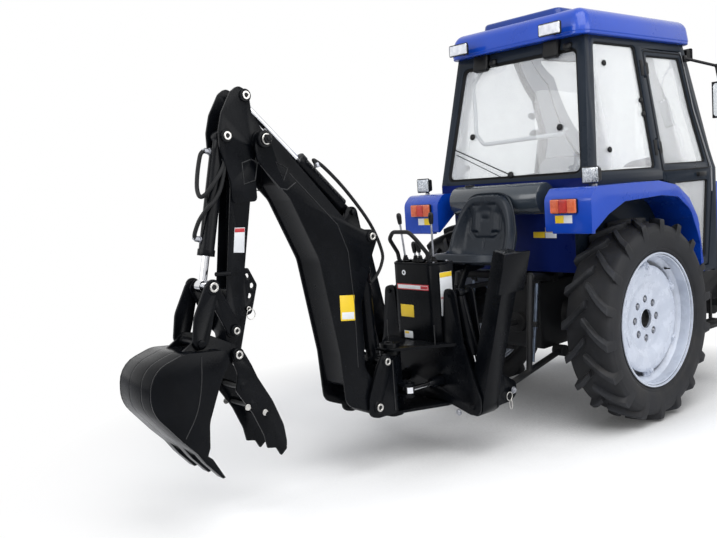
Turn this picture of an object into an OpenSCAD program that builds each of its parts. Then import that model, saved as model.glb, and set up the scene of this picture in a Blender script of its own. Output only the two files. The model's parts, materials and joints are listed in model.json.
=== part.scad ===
// Compact farm tractor with a cab and a rear-mounted backhoe.
// X points forward, Y to the left, Z up.  Pieces are drawn in a frame whose
// origin is on the ground under the rear axle, and place() moves the whole
// machine so that its origin is under the middle of its own box.

/* [Chassis] */
// Distance between the axles
wheelbase = 1900; // [1840:10:2000]
// Half the width of the gearbox and engine castings
casting_half_w = 150; // [130:5:165]
// Radius of the rear axle's trumpets at the wheels
axle_case_r = 82; // [70:2:95]

/* [Wheels] */
// Distance between the rear tyres' middles
rear_track = 1200; // [1160:10:1240]
// Outer radius of a rear tyre, over its lugs
rear_tyre_r = 575; // [555:5:585]
// Width of a rear tyre
rear_tyre_w = 284; // [250:2:290]
// Radius of a rear rim's flange
rear_rim_r = 381; // [360:1:400]
// Lugs on each side of a rear tyre
rear_lugs = 18; // [14:1:22]
// Distance between the front tyres' middles
front_track = 1160; // [1140:10:1200]
// Outer radius of a front tyre, over its lugs
front_tyre_r = 390; // [370:5:400]
// Width of a front tyre
front_tyre_w = 200; // [180:2:210]
// Radius of a front rim's flange
front_rim_r = 226; // [215:1:240]
// Lugs on each side of a front tyre
front_lugs = 16; // [12:1:20]
// Height of a tyre's lugs
lug_h = 30; // [20:1:34]

/* [Cab] */
// Half width of the cab at its sills
cab_half_w = 545; // [535:1:560]
// Height of the window sills
sill_z = 1400; // [1380:5:1420]
// Height of the underside of the roof
roof_z = 2180; // [2150:5:2230]
// Thickness of the cab's posts and panels
cab_t = 42; // [30:1:50]
// Thickness of the window panes
glass_t = 5; // [4:0.5:8]
// Height of the roof's shell
roof_h = 150; // [120:5:170]

/* [Hood] */
// Half width of the hood
hood_half_w = 262; // [240:2:290]
// Height of the hood at the cab
hood_z = 1335; // [1300:5:1370]
// Front end of the hood, ahead of the front axle
hood_reach = 470; // [430:5:520]
// Thickness of the hood's sheet
hood_t = 6; // [4:0.5:10]

/* [Backhoe arm] */
// Half width of the boom
boom_half_w = 95; // [90:1:96]
// Half width of the dipper
dipper_half_w = 58; // [50:1:58]
// Half width of the bucket
bucket_half_w = 148; // [130:2:180]
// Radius of the arm's main pins
pin_r = 17; // [14:0.5:20]
// Thickness of the arm's plates
plate_t = 12; // [8:1:14]
// Outer radius of a large cylinder's barrel
barrel_r = 38; // [32:1:42]
// Radius of a large cylinder's rod
rod_r = 17; // [14:0.5:20]

/* [Backhoe frame] */
// Distance of the frame's rear plate behind the rear axle
frame_x = 1150; // [1130:5:1170]
// Height of the stabilizer legs, pin to foot
leg_len = 820; // [760:10:860]
// Width of the control console
console_w = 330; // [300:5:350]

/* [Hidden] */
$fn = 48;

blue = [0.05, 0.16, 0.62];
black = [0.06, 0.06, 0.07];
slate = [0.10, 0.12, 0.14];
rubber = [0.09, 0.09, 0.09];
rim_white = [0.86, 0.88, 0.93];
cast_black = [0.08, 0.08, 0.09];
chrome = [0.80, 0.81, 0.83];
pane = [0.75, 0.82, 0.85, 0.4];
vinyl = [0.12, 0.13, 0.15];

gap = 0.3;          // between pieces that seat on each other but move
run_gap = 6;        // between pieces that pass each other

// The pins of the arm, in side view: [x, z].
BOOM_PIN = [-1600, 340];       // swing frame to boom
BOOM_BASE = [-1530, 558];      // swing frame to boom cylinder
BOOM_EYE = [-1562, 1188];      // boom cylinder's rod to boom
DIPPER_BASE = [-1625, 1312];   // boom to dipper cylinder
DIPPER_PIN = [-2145, 1668];    // boom to dipper
DIPPER_EYE = [-2202, 1862];    // dipper cylinder's rod to dipper
BUCKET_BASE = [-2312, 1689];   // dipper to bucket cylinder
GUIDE_PIN = [-2356, 850];      // dipper to guide link
LINK_EYE = [-2457, 1054];      // guide link, bucket link and rod eye
BUCKET_EYE = [-2538, 825];     // bucket link to bucket
BUCKET_PIN = [-2366, 748];     // dipper to bucket and thumb
STRUT_PIN = [-2330, 700];      // thumb to its strut
RACK_PIN = [-2262, 930];       // strut to the rack on the dipper
SWING_X = -1400;               // the swing post's axis
SWING_EAR = 130;               // swing cylinders' pins beside that axis
SWING_Z = 389.5;               // the swing cylinders' height
SWING_BASE_X = -950;           // their front pins
SWING_MOUTH_X = -1245;         // their barrels' rear ends
swing_rod_r = 14;
swing_eye_h = 31;               // height of their rods' eyes
groove_half = barrel_r + 4;     // half the width of the dipper's rear groove
eye_half = 22;                  // half the width of the other rods' eyes
strut_half = 14;                // half the thickness of the thumb's strut
leg_eye_half = 20;              // half the width of the leg cylinders' eyes

// The stabilizers' pins, in rear view: [distance from the middle, z].
LEG_PIN = [347, 278];
LEG_LUG = [339, 408];
LEG_TOP = [225, 850];
LEG_LEAN = 15.2;               // degrees that a raised leg leans outwards
LEG_X = -1095;                 // the legs' plane

tail_x = -2808;                // the bucket's heel
nose_x = wheelbase + hood_reach + 210;
centre_x = (tail_x + nose_x) / 2;

// An outline with rounded corners.  Each point is [x, y, corner radius].
function unit(v) = v / norm(v);
function corner(p, a, c, steps) =
    let (r = p[2])
    r <= 0 ? [[p[0], p[1]]] :
    let (q = [p[0], p[1]],
         u = unit([a[0], a[1]] - q),
         v = unit([c[0], c[1]] - q),
         half = acos(max(-1, min(1, u * v))) / 2,
         reach = min(r / tan(half), norm([a[0], a[1]] - q) * 0.49,
                     norm([c[0], c[1]] - q) * 0.49),
         rad = reach * tan(half),
         mid = q + unit(u + v) * rad / sin(half),
         s = q + u * reach - mid,
         e = q + v * reach - mid,
         a0 = atan2(s[1], s[0]),
         turn0 = atan2(e[1], e[0]) - a0,
         turn = turn0 > 180 ? turn0 - 360 : turn0 < -180 ? turn0 + 360 : turn0)
    [for (k = [0:steps]) mid + rad * [cos(a0 + turn * k / steps), sin(a0 + turn * k / steps)]];
function rounded(pts, steps = 5) =
    let (n = len(pts))
    [for (i = [0:n - 1]) each corner(pts[i], pts[(i + n - 1) % n], pts[(i + 1) % n], steps)];

// A plate cut to a side-view outline, from y0 to y0 + w.
module side_plate(pts, y0, w) {
    translate([0, y0 + w, 0]) rotate([90, 0, 0]) linear_extrude(w) polygon(pts);
}
// A plate cut to a rear-view outline of [y, z] points, from x0 to x0 + w.
module cross_plate(pts, x0, w) {
    translate([x0, 0, 0]) rotate([90, 0, 90]) linear_extrude(w) polygon(pts);
}
// The same side plate on both sides of the middle.
module plate_pair(pts, y0, w) {
    side_plate(pts, y0, w);
    side_plate(pts, -y0 - w, w);
}
// A round bar along Y at a side-view point.
module y_bar(p, r, y0, y1) {
    translate([p[0], y0, p[1]]) rotate([-90, 0, 0]) cylinder(r = r, h = y1 - y0);
}
// A round bar along X at a rear-view point [y, z].
module x_bar(p, r, x0, x1) {
    translate([x0, p[0], p[1]]) rotate([0, 90, 0]) cylinder(r = r, h = x1 - x0);
}
// A round bar between two points in space.
module bar(a, b, r) {
    d = b - a;
    translate(a) rotate([0, acos(d[2] / norm(d)), atan2(d[1], d[0])]) cylinder(r = r, h = norm(d));
}
module box(lo, hi) {
    translate(lo) cube(hi - lo);
}
module both_sides() {
    children();
    mirror([0, 1, 0]) children();
}
module place() {
    translate([-centre_x, 0, 0]) children();
}

// ---------------------------------------------------------------- wheels
bead = 0.8;         // a rim's inner width as a share of its tyre's width
flange = 9;         // thickness of a rim's flange
// A tyre about the Y axis: a bulged ring with two staggered rows of bars.
module tyre(r, w, rim_r, lugs) {
    carcass = r - lug_h;
    seat = rim_r - 14;
    half = w / 2;
    depth = carcass - seat;
    section = rounded([
        [seat, -half * bead, 0],
        [rim_r + 3, -half * bead, 4],
        [seat + depth * 0.5, -half, 60],
        [carcass - 22, -half * 0.9, 40],
        [carcass, -half * 0.45, 60],
        [carcass, half * 0.45, 60],
        [carcass - 22, half * 0.9, 40],
        [seat + depth * 0.5, half, 60],
        [rim_r + 3, half * bead, 4],
        [seat, half * bead, 0]], 3);
    rotate([90, 0, 0]) rotate_extrude($fn = 96) polygon(section);
    for (side = [-1, 1])
        for (i = [0:lugs - 1])
            rotate([0, (i + (side > 0 ? 0.5 : 0)) * 360 / lugs, 0])
                lug(r, half, side);
}
// One bar of the tread, sweeping back from the middle to the shoulder.
module lug(r, half, side) {
    thick = r * 0.066;
    sweep = r * 0.24;
    outline = [
        [-thick * 0.6, -6], [thick * 0.7, -6],
        [sweep * 0.45 + thick * 0.6, half * 0.5],
        [sweep + thick * 0.75, half * 0.98],
        [sweep - thick * 0.75, half * 0.98],
        [sweep * 0.45 - thick * 0.7, half * 0.5]];
    // the bar's top follows the crown: lower at the shoulder
    drop = atan(10 / half);
    translate([0, 0, r - 1]) rotate([side * -drop, 0, 0]) translate([0, 0, -lug_h - 22])
        linear_extrude(lug_h + 22)
            polygon([for (p = outline) [sweep * 0.5 - p[0], side * p[1]]]);
}
// A rim about the Y axis, its dished disc set towards +Y.
module rim(rim_r, w, disc_y, hub_r, hub_y, studs) {
    seat = rim_r - 14 - gap;
    half = w / 2;
    edge = half * bead + gap;
    difference() {
        union() {
            // barrel with its drop centre and a flange at each edge
            rotate([-90, 0, 0]) rotate_extrude($fn = 96) polygon([
                [seat - 9, -edge - flange], [rim_r, -edge - flange], [rim_r, -edge], [seat, -edge],
                [seat, -half * 0.35], [seat - 30, -half * 0.2], [seat - 30, half * 0.2], [seat, half * 0.35],
                [seat, edge], [rim_r, edge], [rim_r, edge + flange], [seat - 9, edge + flange],
                [seat - 9, half * 0.38], [seat - 39, half * 0.22], [seat - 39, -half * 0.22],
                [seat - 9, -half * 0.38]]);
            rotate([-90, 0, 0]) rotate_extrude($fn = 96) polygon(rounded([
                [0, disc_y - 10, 0], [rim_r * 0.46, disc_y - 10, 10], [rim_r * 0.6, disc_y + 12, 20],
                [rim_r * 0.8, disc_y + 6, 20], [seat - 33, half * 0.12 - 5, 0], [seat - 33, half * 0.12 + 7, 0],
                [rim_r * 0.8, disc_y + 18, 20], [rim_r * 0.6, disc_y + 24, 20],
                [rim_r * 0.46, disc_y + 2, 10], [0, disc_y + 2, 0]], 3));
            translate([0, hub_y, 0]) rotate([-90, 0, 0]) cylinder(r = hub_r, h = disc_y - hub_y);
        }
        translate([0, disc_y - 22, 0]) rotate([-90, 0, 0]) cylinder(r = hub_r * 0.62, h = 60);
    }
    for (i = [0:studs - 1])
        rotate([0, i * 360 / studs, 0]) translate([hub_r * 1.28, disc_y, 0])
            rotate([-90, 0, 0]) cylinder(r = hub_r * 0.13, h = 16, $fn = 24);
}

rear_axle_z = rear_tyre_r;
front_axle_z = front_tyre_r;
kingpin_y = front_track / 2 - 150;
trumpet_end = rear_track / 2 - 130;

module rear_tyre() { color(rubber) tyre(rear_tyre_r, rear_tyre_w, rear_rim_r, rear_lugs); }
module front_tyre() { color(rubber) tyre(front_tyre_r, front_tyre_w, front_rim_r, front_lugs); }
module rear_rim() {
    color(rim_white) rim(rear_rim_r, rear_tyre_w, 34, 88, -130 + gap, 8);
}
module front_rim() {
    color(rim_white) rim(front_rim_r, front_tyre_w, 20, 62, -75 + gap, 6);
}
module at_rear_wheel(side) {
    translate([0, side * rear_track / 2, rear_axle_z]) mirror([0, side > 0 ? 0 : 1, 0]) children();
}
module at_front_wheel(side) {
    translate([wheelbase, side * front_track / 2, front_axle_z]) mirror([0, side > 0 ? 0 : 1, 0]) children();
}

// ------------------------------------------------------------- driveline
clutch_x = 1070;      // gearbox to engine
engine_front_x = 1620;
engine_half_w = casting_half_w + 15;
gearbox_top = 800;
module engine_block() {
    color(cast_black) {
        box([clutch_x + gap, -engine_half_w, 560], [engine_front_x - gap, engine_half_w, 1090]);
    }
}
module transmission() {
    color(cast_black) {
        // gearbox and clutch housing, stepped up towards the rear
        side_plate(rounded([
            [-330, 400, 30], [clutch_x - 200, 430, 40], [clutch_x, 500, 20], [clutch_x, 850, 20],
            [clutch_x - 250, 790, 60], [250, 760, 40], [120, gearbox_top, 40], [-330, gearbox_top, 10]]),
            -casting_half_w, 2 * casting_half_w);
        // axle trumpets with their end flanges
        both_sides() {
            translate([0, casting_half_w - 20, rear_axle_z]) rotate([-90, 0, 0])
                cylinder(r1 = axle_case_r * 1.6, r2 = axle_case_r, h = trumpet_end - casting_half_w - 20);
            translate([0, trumpet_end - 41, rear_axle_z]) rotate([-90, 0, 0])
                cylinder(r = axle_case_r * 1.25, h = 41);
        }
        // power take-off stub at the rear
        x_bar([0, 560], 60, -370, -320);
        x_bar([0, 560], 17.5, -430, -370);
    }
}
module front_bolster() {
    color(cast_black) difference() {
        union() {
            // side rails under the engine, and the nose casting
            both_sides() box([clutch_x - 160, engine_half_w + gap, 600], [bolster_end, rail_face, 760]);
            box([engine_front_x + gap, -rail_face + 20, 560], [bolster_end, rail_face - 20, 760]);
            // radiator's foot, on which the hood's edges rest
            box([bolster_end - 190, -hood_half_w, 759], [bolster_end - 140, hood_half_w, hood_low_z - gap]);
            // tow lug at the nose
            box([bolster_end - 10, -60, 590], [nose_x - 60, 60, 590 + tow_lug_h]);
            translate([nose_x - 60, 0, 590]) cylinder(r = 60, h = tow_lug_h);
        }
        // the axle's room under the casting
        box([wheelbase - 160, -400, 500], [wheelbase + 160, 400, 600]);
        translate([nose_x - 60, 0, 500]) cylinder(r = tow_bore_r, h = 200);
        // mounting holes in the side rails
        for (side = [-1, 1])
            for (dx = [0, rail_hole_dx])
                for (dz = [0, rail_hole_dz])
                    translate([rail_hole_x + dx, side * (rail_face + 5), 640 + dz])
                        rotate([side * 90, 0, 0]) cylinder(r = rail_hole_r, h = rail_face - engine_half_w + 5);
    }
}
bolster_end = nose_x - 170;
rail_face = casting_half_w + 46;      // outer face of the side rails
tow_lug_h = 50;
tow_bore_r = 14;
rail_hole_x = 1380;
rail_hole_r = 8.5;
rail_hole_dx = 160;
rail_hole_dz = 80;
module front_axle() {
    color(cast_black) {
        box([wheelbase - 55, -kingpin_y + 125, front_axle_z - 45], [wheelbase + 55, kingpin_y - 125, front_axle_z + 55]);
        // narrower beside the steering arms
        box([wheelbase - 30, -kingpin_y + 60, front_axle_z - 45], [wheelbase + 50, kingpin_y - 60, front_axle_z + 55]);
        translate([wheelbase, 0, front_axle_z]) rotate([90, 0, 0]) cylinder(r = 120, h = 200, center = true);
        // pivot trunnion that carries the bolster
        box([wheelbase - 130, -60, front_axle_z + 40], [wheelbase + 130, 60, 600]);
        // fork of each end around the knuckle
        both_sides() for (z = [-95, 70])
            box([wheelbase - 50, kingpin_y - 110, front_axle_z + z], [wheelbase + 50, kingpin_y, front_axle_z + z + 25]);
        both_sides() for (z = [-95, 70])
            translate([wheelbase, kingpin_y, front_axle_z + z]) cylinder(r = 50, h = 25);
        both_sides() box([wheelbase - 50, kingpin_y - 110, front_axle_z - 95], [wheelbase + 50, kingpin_y - 85, front_axle_z + 95]);
    }
}
module knuckle() {
    // drawn for the left wheel, about its kingpin
    color(cast_black) {
        translate([0, 0, -70 + gap]) cylinder(r = 48, h = 140 - 2 * gap);
        translate([0, 30, 0]) rotate([-90, 0, 0]) cylinder(r = 66, h = 45 - gap);
        // steering arm to the rear
        box([-150, -18, -30], [-30, 18, -5]);
        translate([-150, 0, -30]) cylinder(r = 20, h = 25);
    }
}

// -------------------------------------------------------------------- cab
cab_back_x = -372;
cab_front_x = 1060;
cab_floor_z = 900;         // top of the cab's floor
wheel_clear = 13;          // between a rear tyre and the cab's wall
wheel_wall_y = rear_track / 2 - rear_tyre_w / 2 - wheel_clear;   // outer face of those walls
fender_top_z = 1352;
side_tilt = 5.86;          // degrees that the cab's sides lean inwards
back_tilt = 10;            // degrees that the rear window leans forwards
sill_h = roof_z - sill_z;

// Cab side above the sill, in its own leaning plane: [x, height above sill].
SIDE_EDGE = [[cab_back_x, 0], [cab_front_x, 0], [1045, 30], [905, 400], [822, sill_h + 25], [-230, sill_h + 25]];
QUARTER_WINDOW = [[-285, 22, 30], [330, 22, 30], [268, sill_h - 30, 30], [-165, sill_h - 30, 30]];
DOOR_OPENING = [[398, -60], [1015, -60], [1015, 0], [872, 385], [800, sill_h - 40], [330, sill_h - 40]];
module lean(side) {
    translate([0, side * cab_half_w, sill_z]) rotate([side * side_tilt, 0, 0])
        translate([0, side * -cab_t / 2, 0]) children();
}
module side_panel(pts, w) {
    translate([0, w / 2, 0]) rotate([90, 0, 0]) linear_extrude(w) polygon(pts);
}
module cab_frame() {
    color(slate) difference() {
        cab_shell();
        box([-600, -700, roof_z], [1200, 700, roof_z + 100]);
        // room for the clutch housing under the firewall
        box([cab_front_x - 100, -rail_face - run_gap, 600], [cab_front_x + 1, rail_face + run_gap, 870]);
        for (side = [-1, 1]) door_knuckles(side, 17, 36);
    }
}
module cab_shell() {
    union() {
        for (side = [-1, 1]) lean(side) difference() {
            side_panel(SIDE_EDGE, cab_t);
            side_panel(rounded(QUARTER_WINDOW), cab_t + 2);
            side_panel(DOOR_OPENING, cab_t + 2);
        }
        // rear frame around the rear window
        translate([cab_back_x, 0, sill_z]) rotate([0, back_tilt, 0]) difference() {
            cross_plate([[-cab_half_w + 2, -2], [cab_half_w - 2, -2], [cab_half_w - 80, sill_h + 30], [-cab_half_w + 80, sill_h + 30]], 0, cab_t);
            cross_plate(rounded([[-500, 20, 40], [500, 20, 40], [418, sill_h - 50, 40], [-418, sill_h - 50, 40]]), -1, cab_t + 2);
        }
        // front frame around the windscreen
        translate([cab_front_x - 8, 0, sill_z]) rotate([0, -16.4, 0]) difference() {
            cross_plate([[-cab_half_w + 2, -20], [cab_half_w - 2, -20], [cab_half_w - 80, sill_h + 50], [-cab_half_w + 80, sill_h + 50]], -cab_t, cab_t);
            cross_plate(rounded([[-490, 30, 40], [490, 30, 40], [412, sill_h - 30, 40], [-412, sill_h - 30, 40]]), -cab_t - 1, cab_t + 2);
        }
        // floor, narrow between the rear tyres, and the firewall
        box([-330, -wheel_wall_y, cab_floor_z - 25], [ARCH_X + 1, wheel_wall_y, cab_floor_z]);
        box([ARCH_X, -step_y, cab_floor_z - 25], [cab_front_x - 30, step_y, cab_floor_z]);
        box([cab_front_x - cab_t, -cab_half_w + 2, 730], [cab_front_x, cab_half_w - 2, sill_z]);
        // rear wall under the window, wide above the fenders
        box([cab_back_x, -wheel_wall_y, cab_floor_z - 25], [cab_back_x + cab_t, wheel_wall_y, sill_z]);
        box([cab_back_x, -cab_half_w + 2, fender_top_z + gap], [cab_back_x + cab_t, cab_half_w - 2, sill_z]);
        both_sides() {
            // wall beside the tyre, the ledge over the fender and the sill panel on it
            box([cab_back_x, wheel_wall_y - cab_t, cab_floor_z - 25], [ARCH_X + 6, wheel_wall_y, fender_top_z + 20]);
            box([cab_back_x, wheel_wall_y - cab_t, fender_top_z + gap], [398, cab_half_w, fender_top_z + 20]);
            box([cab_back_x, cab_half_w - cab_t, fender_top_z + gap], [398, cab_half_w, sill_z + 3]);
            // riser and sill beam under the door
            box([ARCH_X, step_y - cab_t, 740], [cab_front_x - 1, step_y, cab_floor_z]);
            box([ARCH_X, step_y - cab_t, 740], [cab_front_x - 1, cab_half_w, 775]);
            // mounts on the gearbox
            box([-160, 60, gearbox_top + gap], [-60, 130, cab_floor_z - 20]);
            // hood hinges on the firewall
            for (y = [95, 125]) side_plate([[cab_front_x - 1, HOOD_HINGE[1] - 28], [cab_front_x - 1, HOOD_HINGE[1] - 4],
                [HOOD_HINGE[0] - 10, HOOD_HINGE[1] + 11], [HOOD_HINGE[0] + 12, HOOD_HINGE[1] + 8],
                [HOOD_HINGE[0] + 12, HOOD_HINGE[1] - 10], [HOOD_HINGE[0] - 10, HOOD_HINGE[1] - 18]], y, 12);
            y_bar(HOOD_HINGE, 8, 90, 142);
        }
        for (side = [-1, 1]) lean_flat(side)
            side_panel([[ARCH_X, 740], [cab_front_x, 740], [cab_front_x, sill_z], [1015, sill_z], [1013, 1250],
                        [939, 775], [640, 775], [ARCH_X + 6, 840], [ARCH_X, 840]], cab_t);
    }
}
ARCH_X = 594;              // cab's wide part begins, ahead of the fenders
step_y = cab_half_w - cab_t - 3;    // inner side of the doors
HOOD_HINGE = [1120, 1290];
module lean_flat(side) {
    translate([0, side * (cab_half_w - cab_t / 2), 0]) children();
}
module cab_roof() {
    color(blue) difference() {
        union() {
            translate([0, 0, roof_z + gap]) linear_extrude(roof_h * 0.55) polygon(rounded([
                [-300, -503, 60], [900, -503, 90], [900, 503, 90], [-300, 503, 60]]));
            translate([0, 0, roof_z + roof_h * 0.55]) linear_extrude(roof_h * 0.45) polygon(rounded([
                [-275, -475, 60], [865, -475, 90], [865, 475, 90], [-275, 475, 60]]));
            translate([0, 0, roof_z + roof_h]) linear_extrude(40) polygon(rounded([
                [-212, -290, 40], [430, -290, 60], [430, 290, 60], [-212, 290, 40]]));
        }
        translate([0, 0, roof_z - 1]) linear_extrude(roof_h * 0.6) polygon(rounded([
            [-225, -430, 40], [780, -430, 60], [780, 430, 60], [-225, 430, 40]]));
    }
}
module cab_glass() {
    color(pane) {
        for (side = [-1, 1]) lean(side)
            side_panel(rounded([for (p = QUARTER_WINDOW) p]), glass_t);
        translate([cab_back_x, 0, sill_z]) rotate([0, back_tilt, 0])
            cross_plate(rounded([[-500, 20, 40], [500, 20, 40], [418, sill_h - 50, 40], [-418, sill_h - 50, 40]]), cab_t / 2 - glass_t / 2, glass_t);
        translate([cab_front_x - 8, 0, sill_z]) rotate([0, -16.4, 0])
            cross_plate(rounded([[-490, 30, 40], [490, 30, 40], [412, sill_h - 30, 40], [-412, sill_h - 30, 40]]), -cab_t / 2 - glass_t / 2, glass_t);
    }
}
// Door: an upper frame in the leaning plane and a lower frame below the sill.
DOOR_UPPER = [[404, -10, 0], [998, -10, 0], [866, 380, 10], [794, sill_h - 46, 25], [337, sill_h - 46, 20]];
DOOR_UPPER_GLASS = [[440, 40, 20], [945, 40, 20], [838, 375, 10], [765, sill_h - 80, 20], [372, sill_h - 80, 20]];
DOOR_LOWER = [[404, sill_z + 12, 0], [404, 1345, 20], [480, 1335, 30], [606, 1120, 30], [606, 868, 30], [650, 783, 30],
              [932, 783, 30], [1004, 1250, 30], [998, sill_z + 12, 0]];
DOOR_LOWER_GLASS = [[520, 1330, 30], [655, 1090, 30], [655, 880, 20], [680, 830, 20], [900, 830, 20], [960, 1330, 20]];
// Hinge line on the door's rear edge: [x, y, z] at two heights.
DOOR_HINGE = [[384, 527, 1524], [338, 478, 2005]];
function hinge_at(z) = DOOR_HINGE[0] + (DOOR_HINGE[1] - DOOR_HINGE[0]) * (z - DOOR_HINGE[0][2]) / (DOOR_HINGE[1][2] - DOOR_HINGE[0][2]);
door_sweep_r = DOOR_LOWER[3][0] - hinge_at(930)[0] - run_gap;    // of the lower panel's rear edge
module door_knuckles(side, r, half) {
    a = [DOOR_HINGE[0][0], side * DOOR_HINGE[0][1], DOOR_HINGE[0][2]];
    b = [DOOR_HINGE[1][0], side * DOOR_HINGE[1][1], DOOR_HINGE[1][2]];
    d = unit(b - a);
    for (p = [a + d * 40, b - d * 10]) bar(p - d * half, p + d * half, r);
}
module door(side) {
    color(slate) {
        lean(side) difference() {
            side_panel(rounded(DOOR_UPPER), cab_t - 6);
            side_panel(rounded(DOOR_UPPER_GLASS), cab_t);
        }
        lean_flat(side) difference() {
            side_panel(rounded(DOOR_LOWER), cab_t - 6);
            side_panel(rounded(DOOR_LOWER_GLASS), cab_t);
        }
        door_knuckles(side, 14, 30);
        // outer handle
        translate([860, side * (cab_half_w + 6), sill_z - 35]) cube([90, 22, 26], center = true);
    }
}
module door_glass(side) {
    color(pane) {
        lean(side) side_panel(rounded(DOOR_UPPER_GLASS), glass_t);
        lean_flat(side) side_panel(rounded(DOOR_LOWER_GLASS), glass_t);
    }
}
// Rear fenders: a flat-topped band over each tyre with a closed rear face.
FENDER_TOP = [[-575, 1110, 10], [-575, 1300, 60], [-520, fender_top_z, 60], [90, fender_top_z, 80], [290, 1318, 80], [430, 1235, 80],
              [520, 1120, 100], [585, 960, 60], [592, 780, 0]];
FENDER_LOW = [[560, 780, 0], [552, 950, 60], [488, 1100, 100], [400, 1205, 80], [270, 1282, 80], [80, 1315, 80],
              [-480, 1315, 60], [-530, 1270, 40], [-545, 1110, 0]];
module rear_fenders() {
    color(blue) both_sides() difference() {
      union() {
        side_plate(rounded(concat(FENDER_TOP, FENDER_LOW)), wheel_wall_y + gap, 690 - wheel_wall_y - gap);
        // outer skirt
        side_plate(rounded([[-575, 1110, 10], [-575, 1300, 60], [-520, fender_top_z, 60], [90, fender_top_z, 80],
            [290, 1318, 80], [430, 1235, 80], [520, 1120, 100], [585, 960, 60], [592, 780, 0], [575, 780, 0],
            [560, 950, 60], [440, 1165, 100], [300, 1250, 80], [120, 1268, 60], [-260, 1258, 60],
            [-420, 1200, 60]]), 678, 14);
        // rear lamp housing, reaching inwards past the tyre
        side_plate(rounded([[-575, 1110, 10], [-575, 1300, 60], [-520, fender_top_z, 40], [cab_back_x - gap, fender_top_z, 0],
            [cab_back_x - gap, 1260, 0], [-480, 1180, 40]]), 400, wheel_wall_y + 1 - 400);
      }
        // front corner rounded off for the door's sweep
        difference() {
            box([500, 630, 770], [610, 720, 1060]);
            bar(hinge_at(750), hinge_at(1080), door_sweep_r);
        }
    }
}

// ------------------------------------------------------------------- hood
hood_front_x = wheelbase + hood_reach;
hood_back_x = cab_front_x + 30;
hood_low_z = 840;
hood_front_z = hood_z - 75;
module hood_form(inset) {
    intersection() {
        cross_plate(rounded([
            [-hood_half_w + inset, hood_low_z - (inset > 0 ? 1 : 0), 0], [-hood_half_w + inset, 1180, 120],
            [-hood_half_w + 60 + inset, hood_z - inset, 90], [hood_half_w - 60 - inset, hood_z - inset, 90],
            [hood_half_w - inset, 1180, 120], [hood_half_w - inset, hood_low_z - (inset > 0 ? 1 : 0), 0]]),
            hood_back_x - (inset > 0 ? 1 : 0), hood_front_x - hood_back_x - inset);
        side_plate(rounded([
            [hood_back_x - 2, 830, 0], [hood_front_x - inset, 830, 0], [hood_front_x - inset, hood_front_z - 60 - inset, 60],
            [hood_front_x - 80, hood_front_z - inset, 90], [hood_back_x - 2, hood_z - inset, 0]]),
            -hood_half_w - 5, 2 * hood_half_w + 10);
    }
}
module hood() {
    color(blue) difference() {
        hood_form(0);
        hood_form(hood_t);
        // grille opening in the nose
        box([hood_front_x - 60, -190, 800], [hood_front_x + 10, 190, hood_front_z - 90]);
    }
    // hinge lugs under the skin
    color(blue) both_sides() difference() {
        side_plate([[HOOD_HINGE[0] - 20, HOOD_HINGE[1] - 16], [HOOD_HINGE[0] + 40, HOOD_HINGE[1] - 16],
            [HOOD_HINGE[0] + 60, hood_z - hood_t / 2 - 3], [HOOD_HINGE[0] - 10, hood_z - hood_t / 2 - 3]], 110, 12);
        y_bar(HOOD_HINGE, 8 + gap, 100, 130);
    }
}
module grille() {
    color(black) {
        box([hood_front_x - 26, -205, hood_low_z + 2], [hood_front_x - hood_t - 2.5, 205, hood_front_z - 80]);
        for (i = [0:5])
            box([hood_front_x - 12, -150, 870 + i * 38], [hood_front_x + 2, 150, 884 + i * 38]);
    }
    color(chrome) both_sides()
        x_bar([125, hood_front_z - 140], 42, hood_front_x - 14, hood_front_x + 6);
}

// --------------------------------------------------------- inside the cab
module dash() {
    color(black) {
        side_plate(rounded([[cab_front_x - cab_t - gap, cab_floor_z + gap, 0], [cab_front_x - cab_t - gap, 1330, 0],
            [840, 1345, 30], [800, 1290, 30], [860, cab_floor_z + gap, 0]]), -190, 380);
        bar([850, 0, 1300], [735, 0, 1390], 22);
        translate([735, 0, 1390]) rotate([0, -52, 0]) rotate_extrude() translate([185, 0]) circle(r = 13, $fn = 24);
        translate([735, 0, 1390]) rotate([0, -52, 0]) for (a = [0:120:240])
            rotate([0, 0, a]) translate([0, -12, -6]) cube([186, 24, 12]);
    }
}
module driver_seat() {
    color(vinyl) {
        box([40, -150, cab_floor_z + gap], [330, 150, 1065]);
        side_plate(rounded([[30, 1060, 30], [470, 1060, 50], [480, 1150, 50], [120, 1160, 60], [60, 1575, 50], [-50, 1595, 50]]),
            -195, 390);
    }
}
module fuel_tank() {
    color(black) {
        // tank on the left and battery box on the right, each with a step below
        both_sides() {
            box([700, 230, 520], [1300, 480, 720]);
            box([760, 480, 380], [1080, 620, 400]);
            for (x = [760, 1060]) box([x, 470, 380], [x + 20, 490, 560]);
            box([950, rail_face + gap, 610], [1090, 240, 680]);
        }
    }
}

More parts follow.
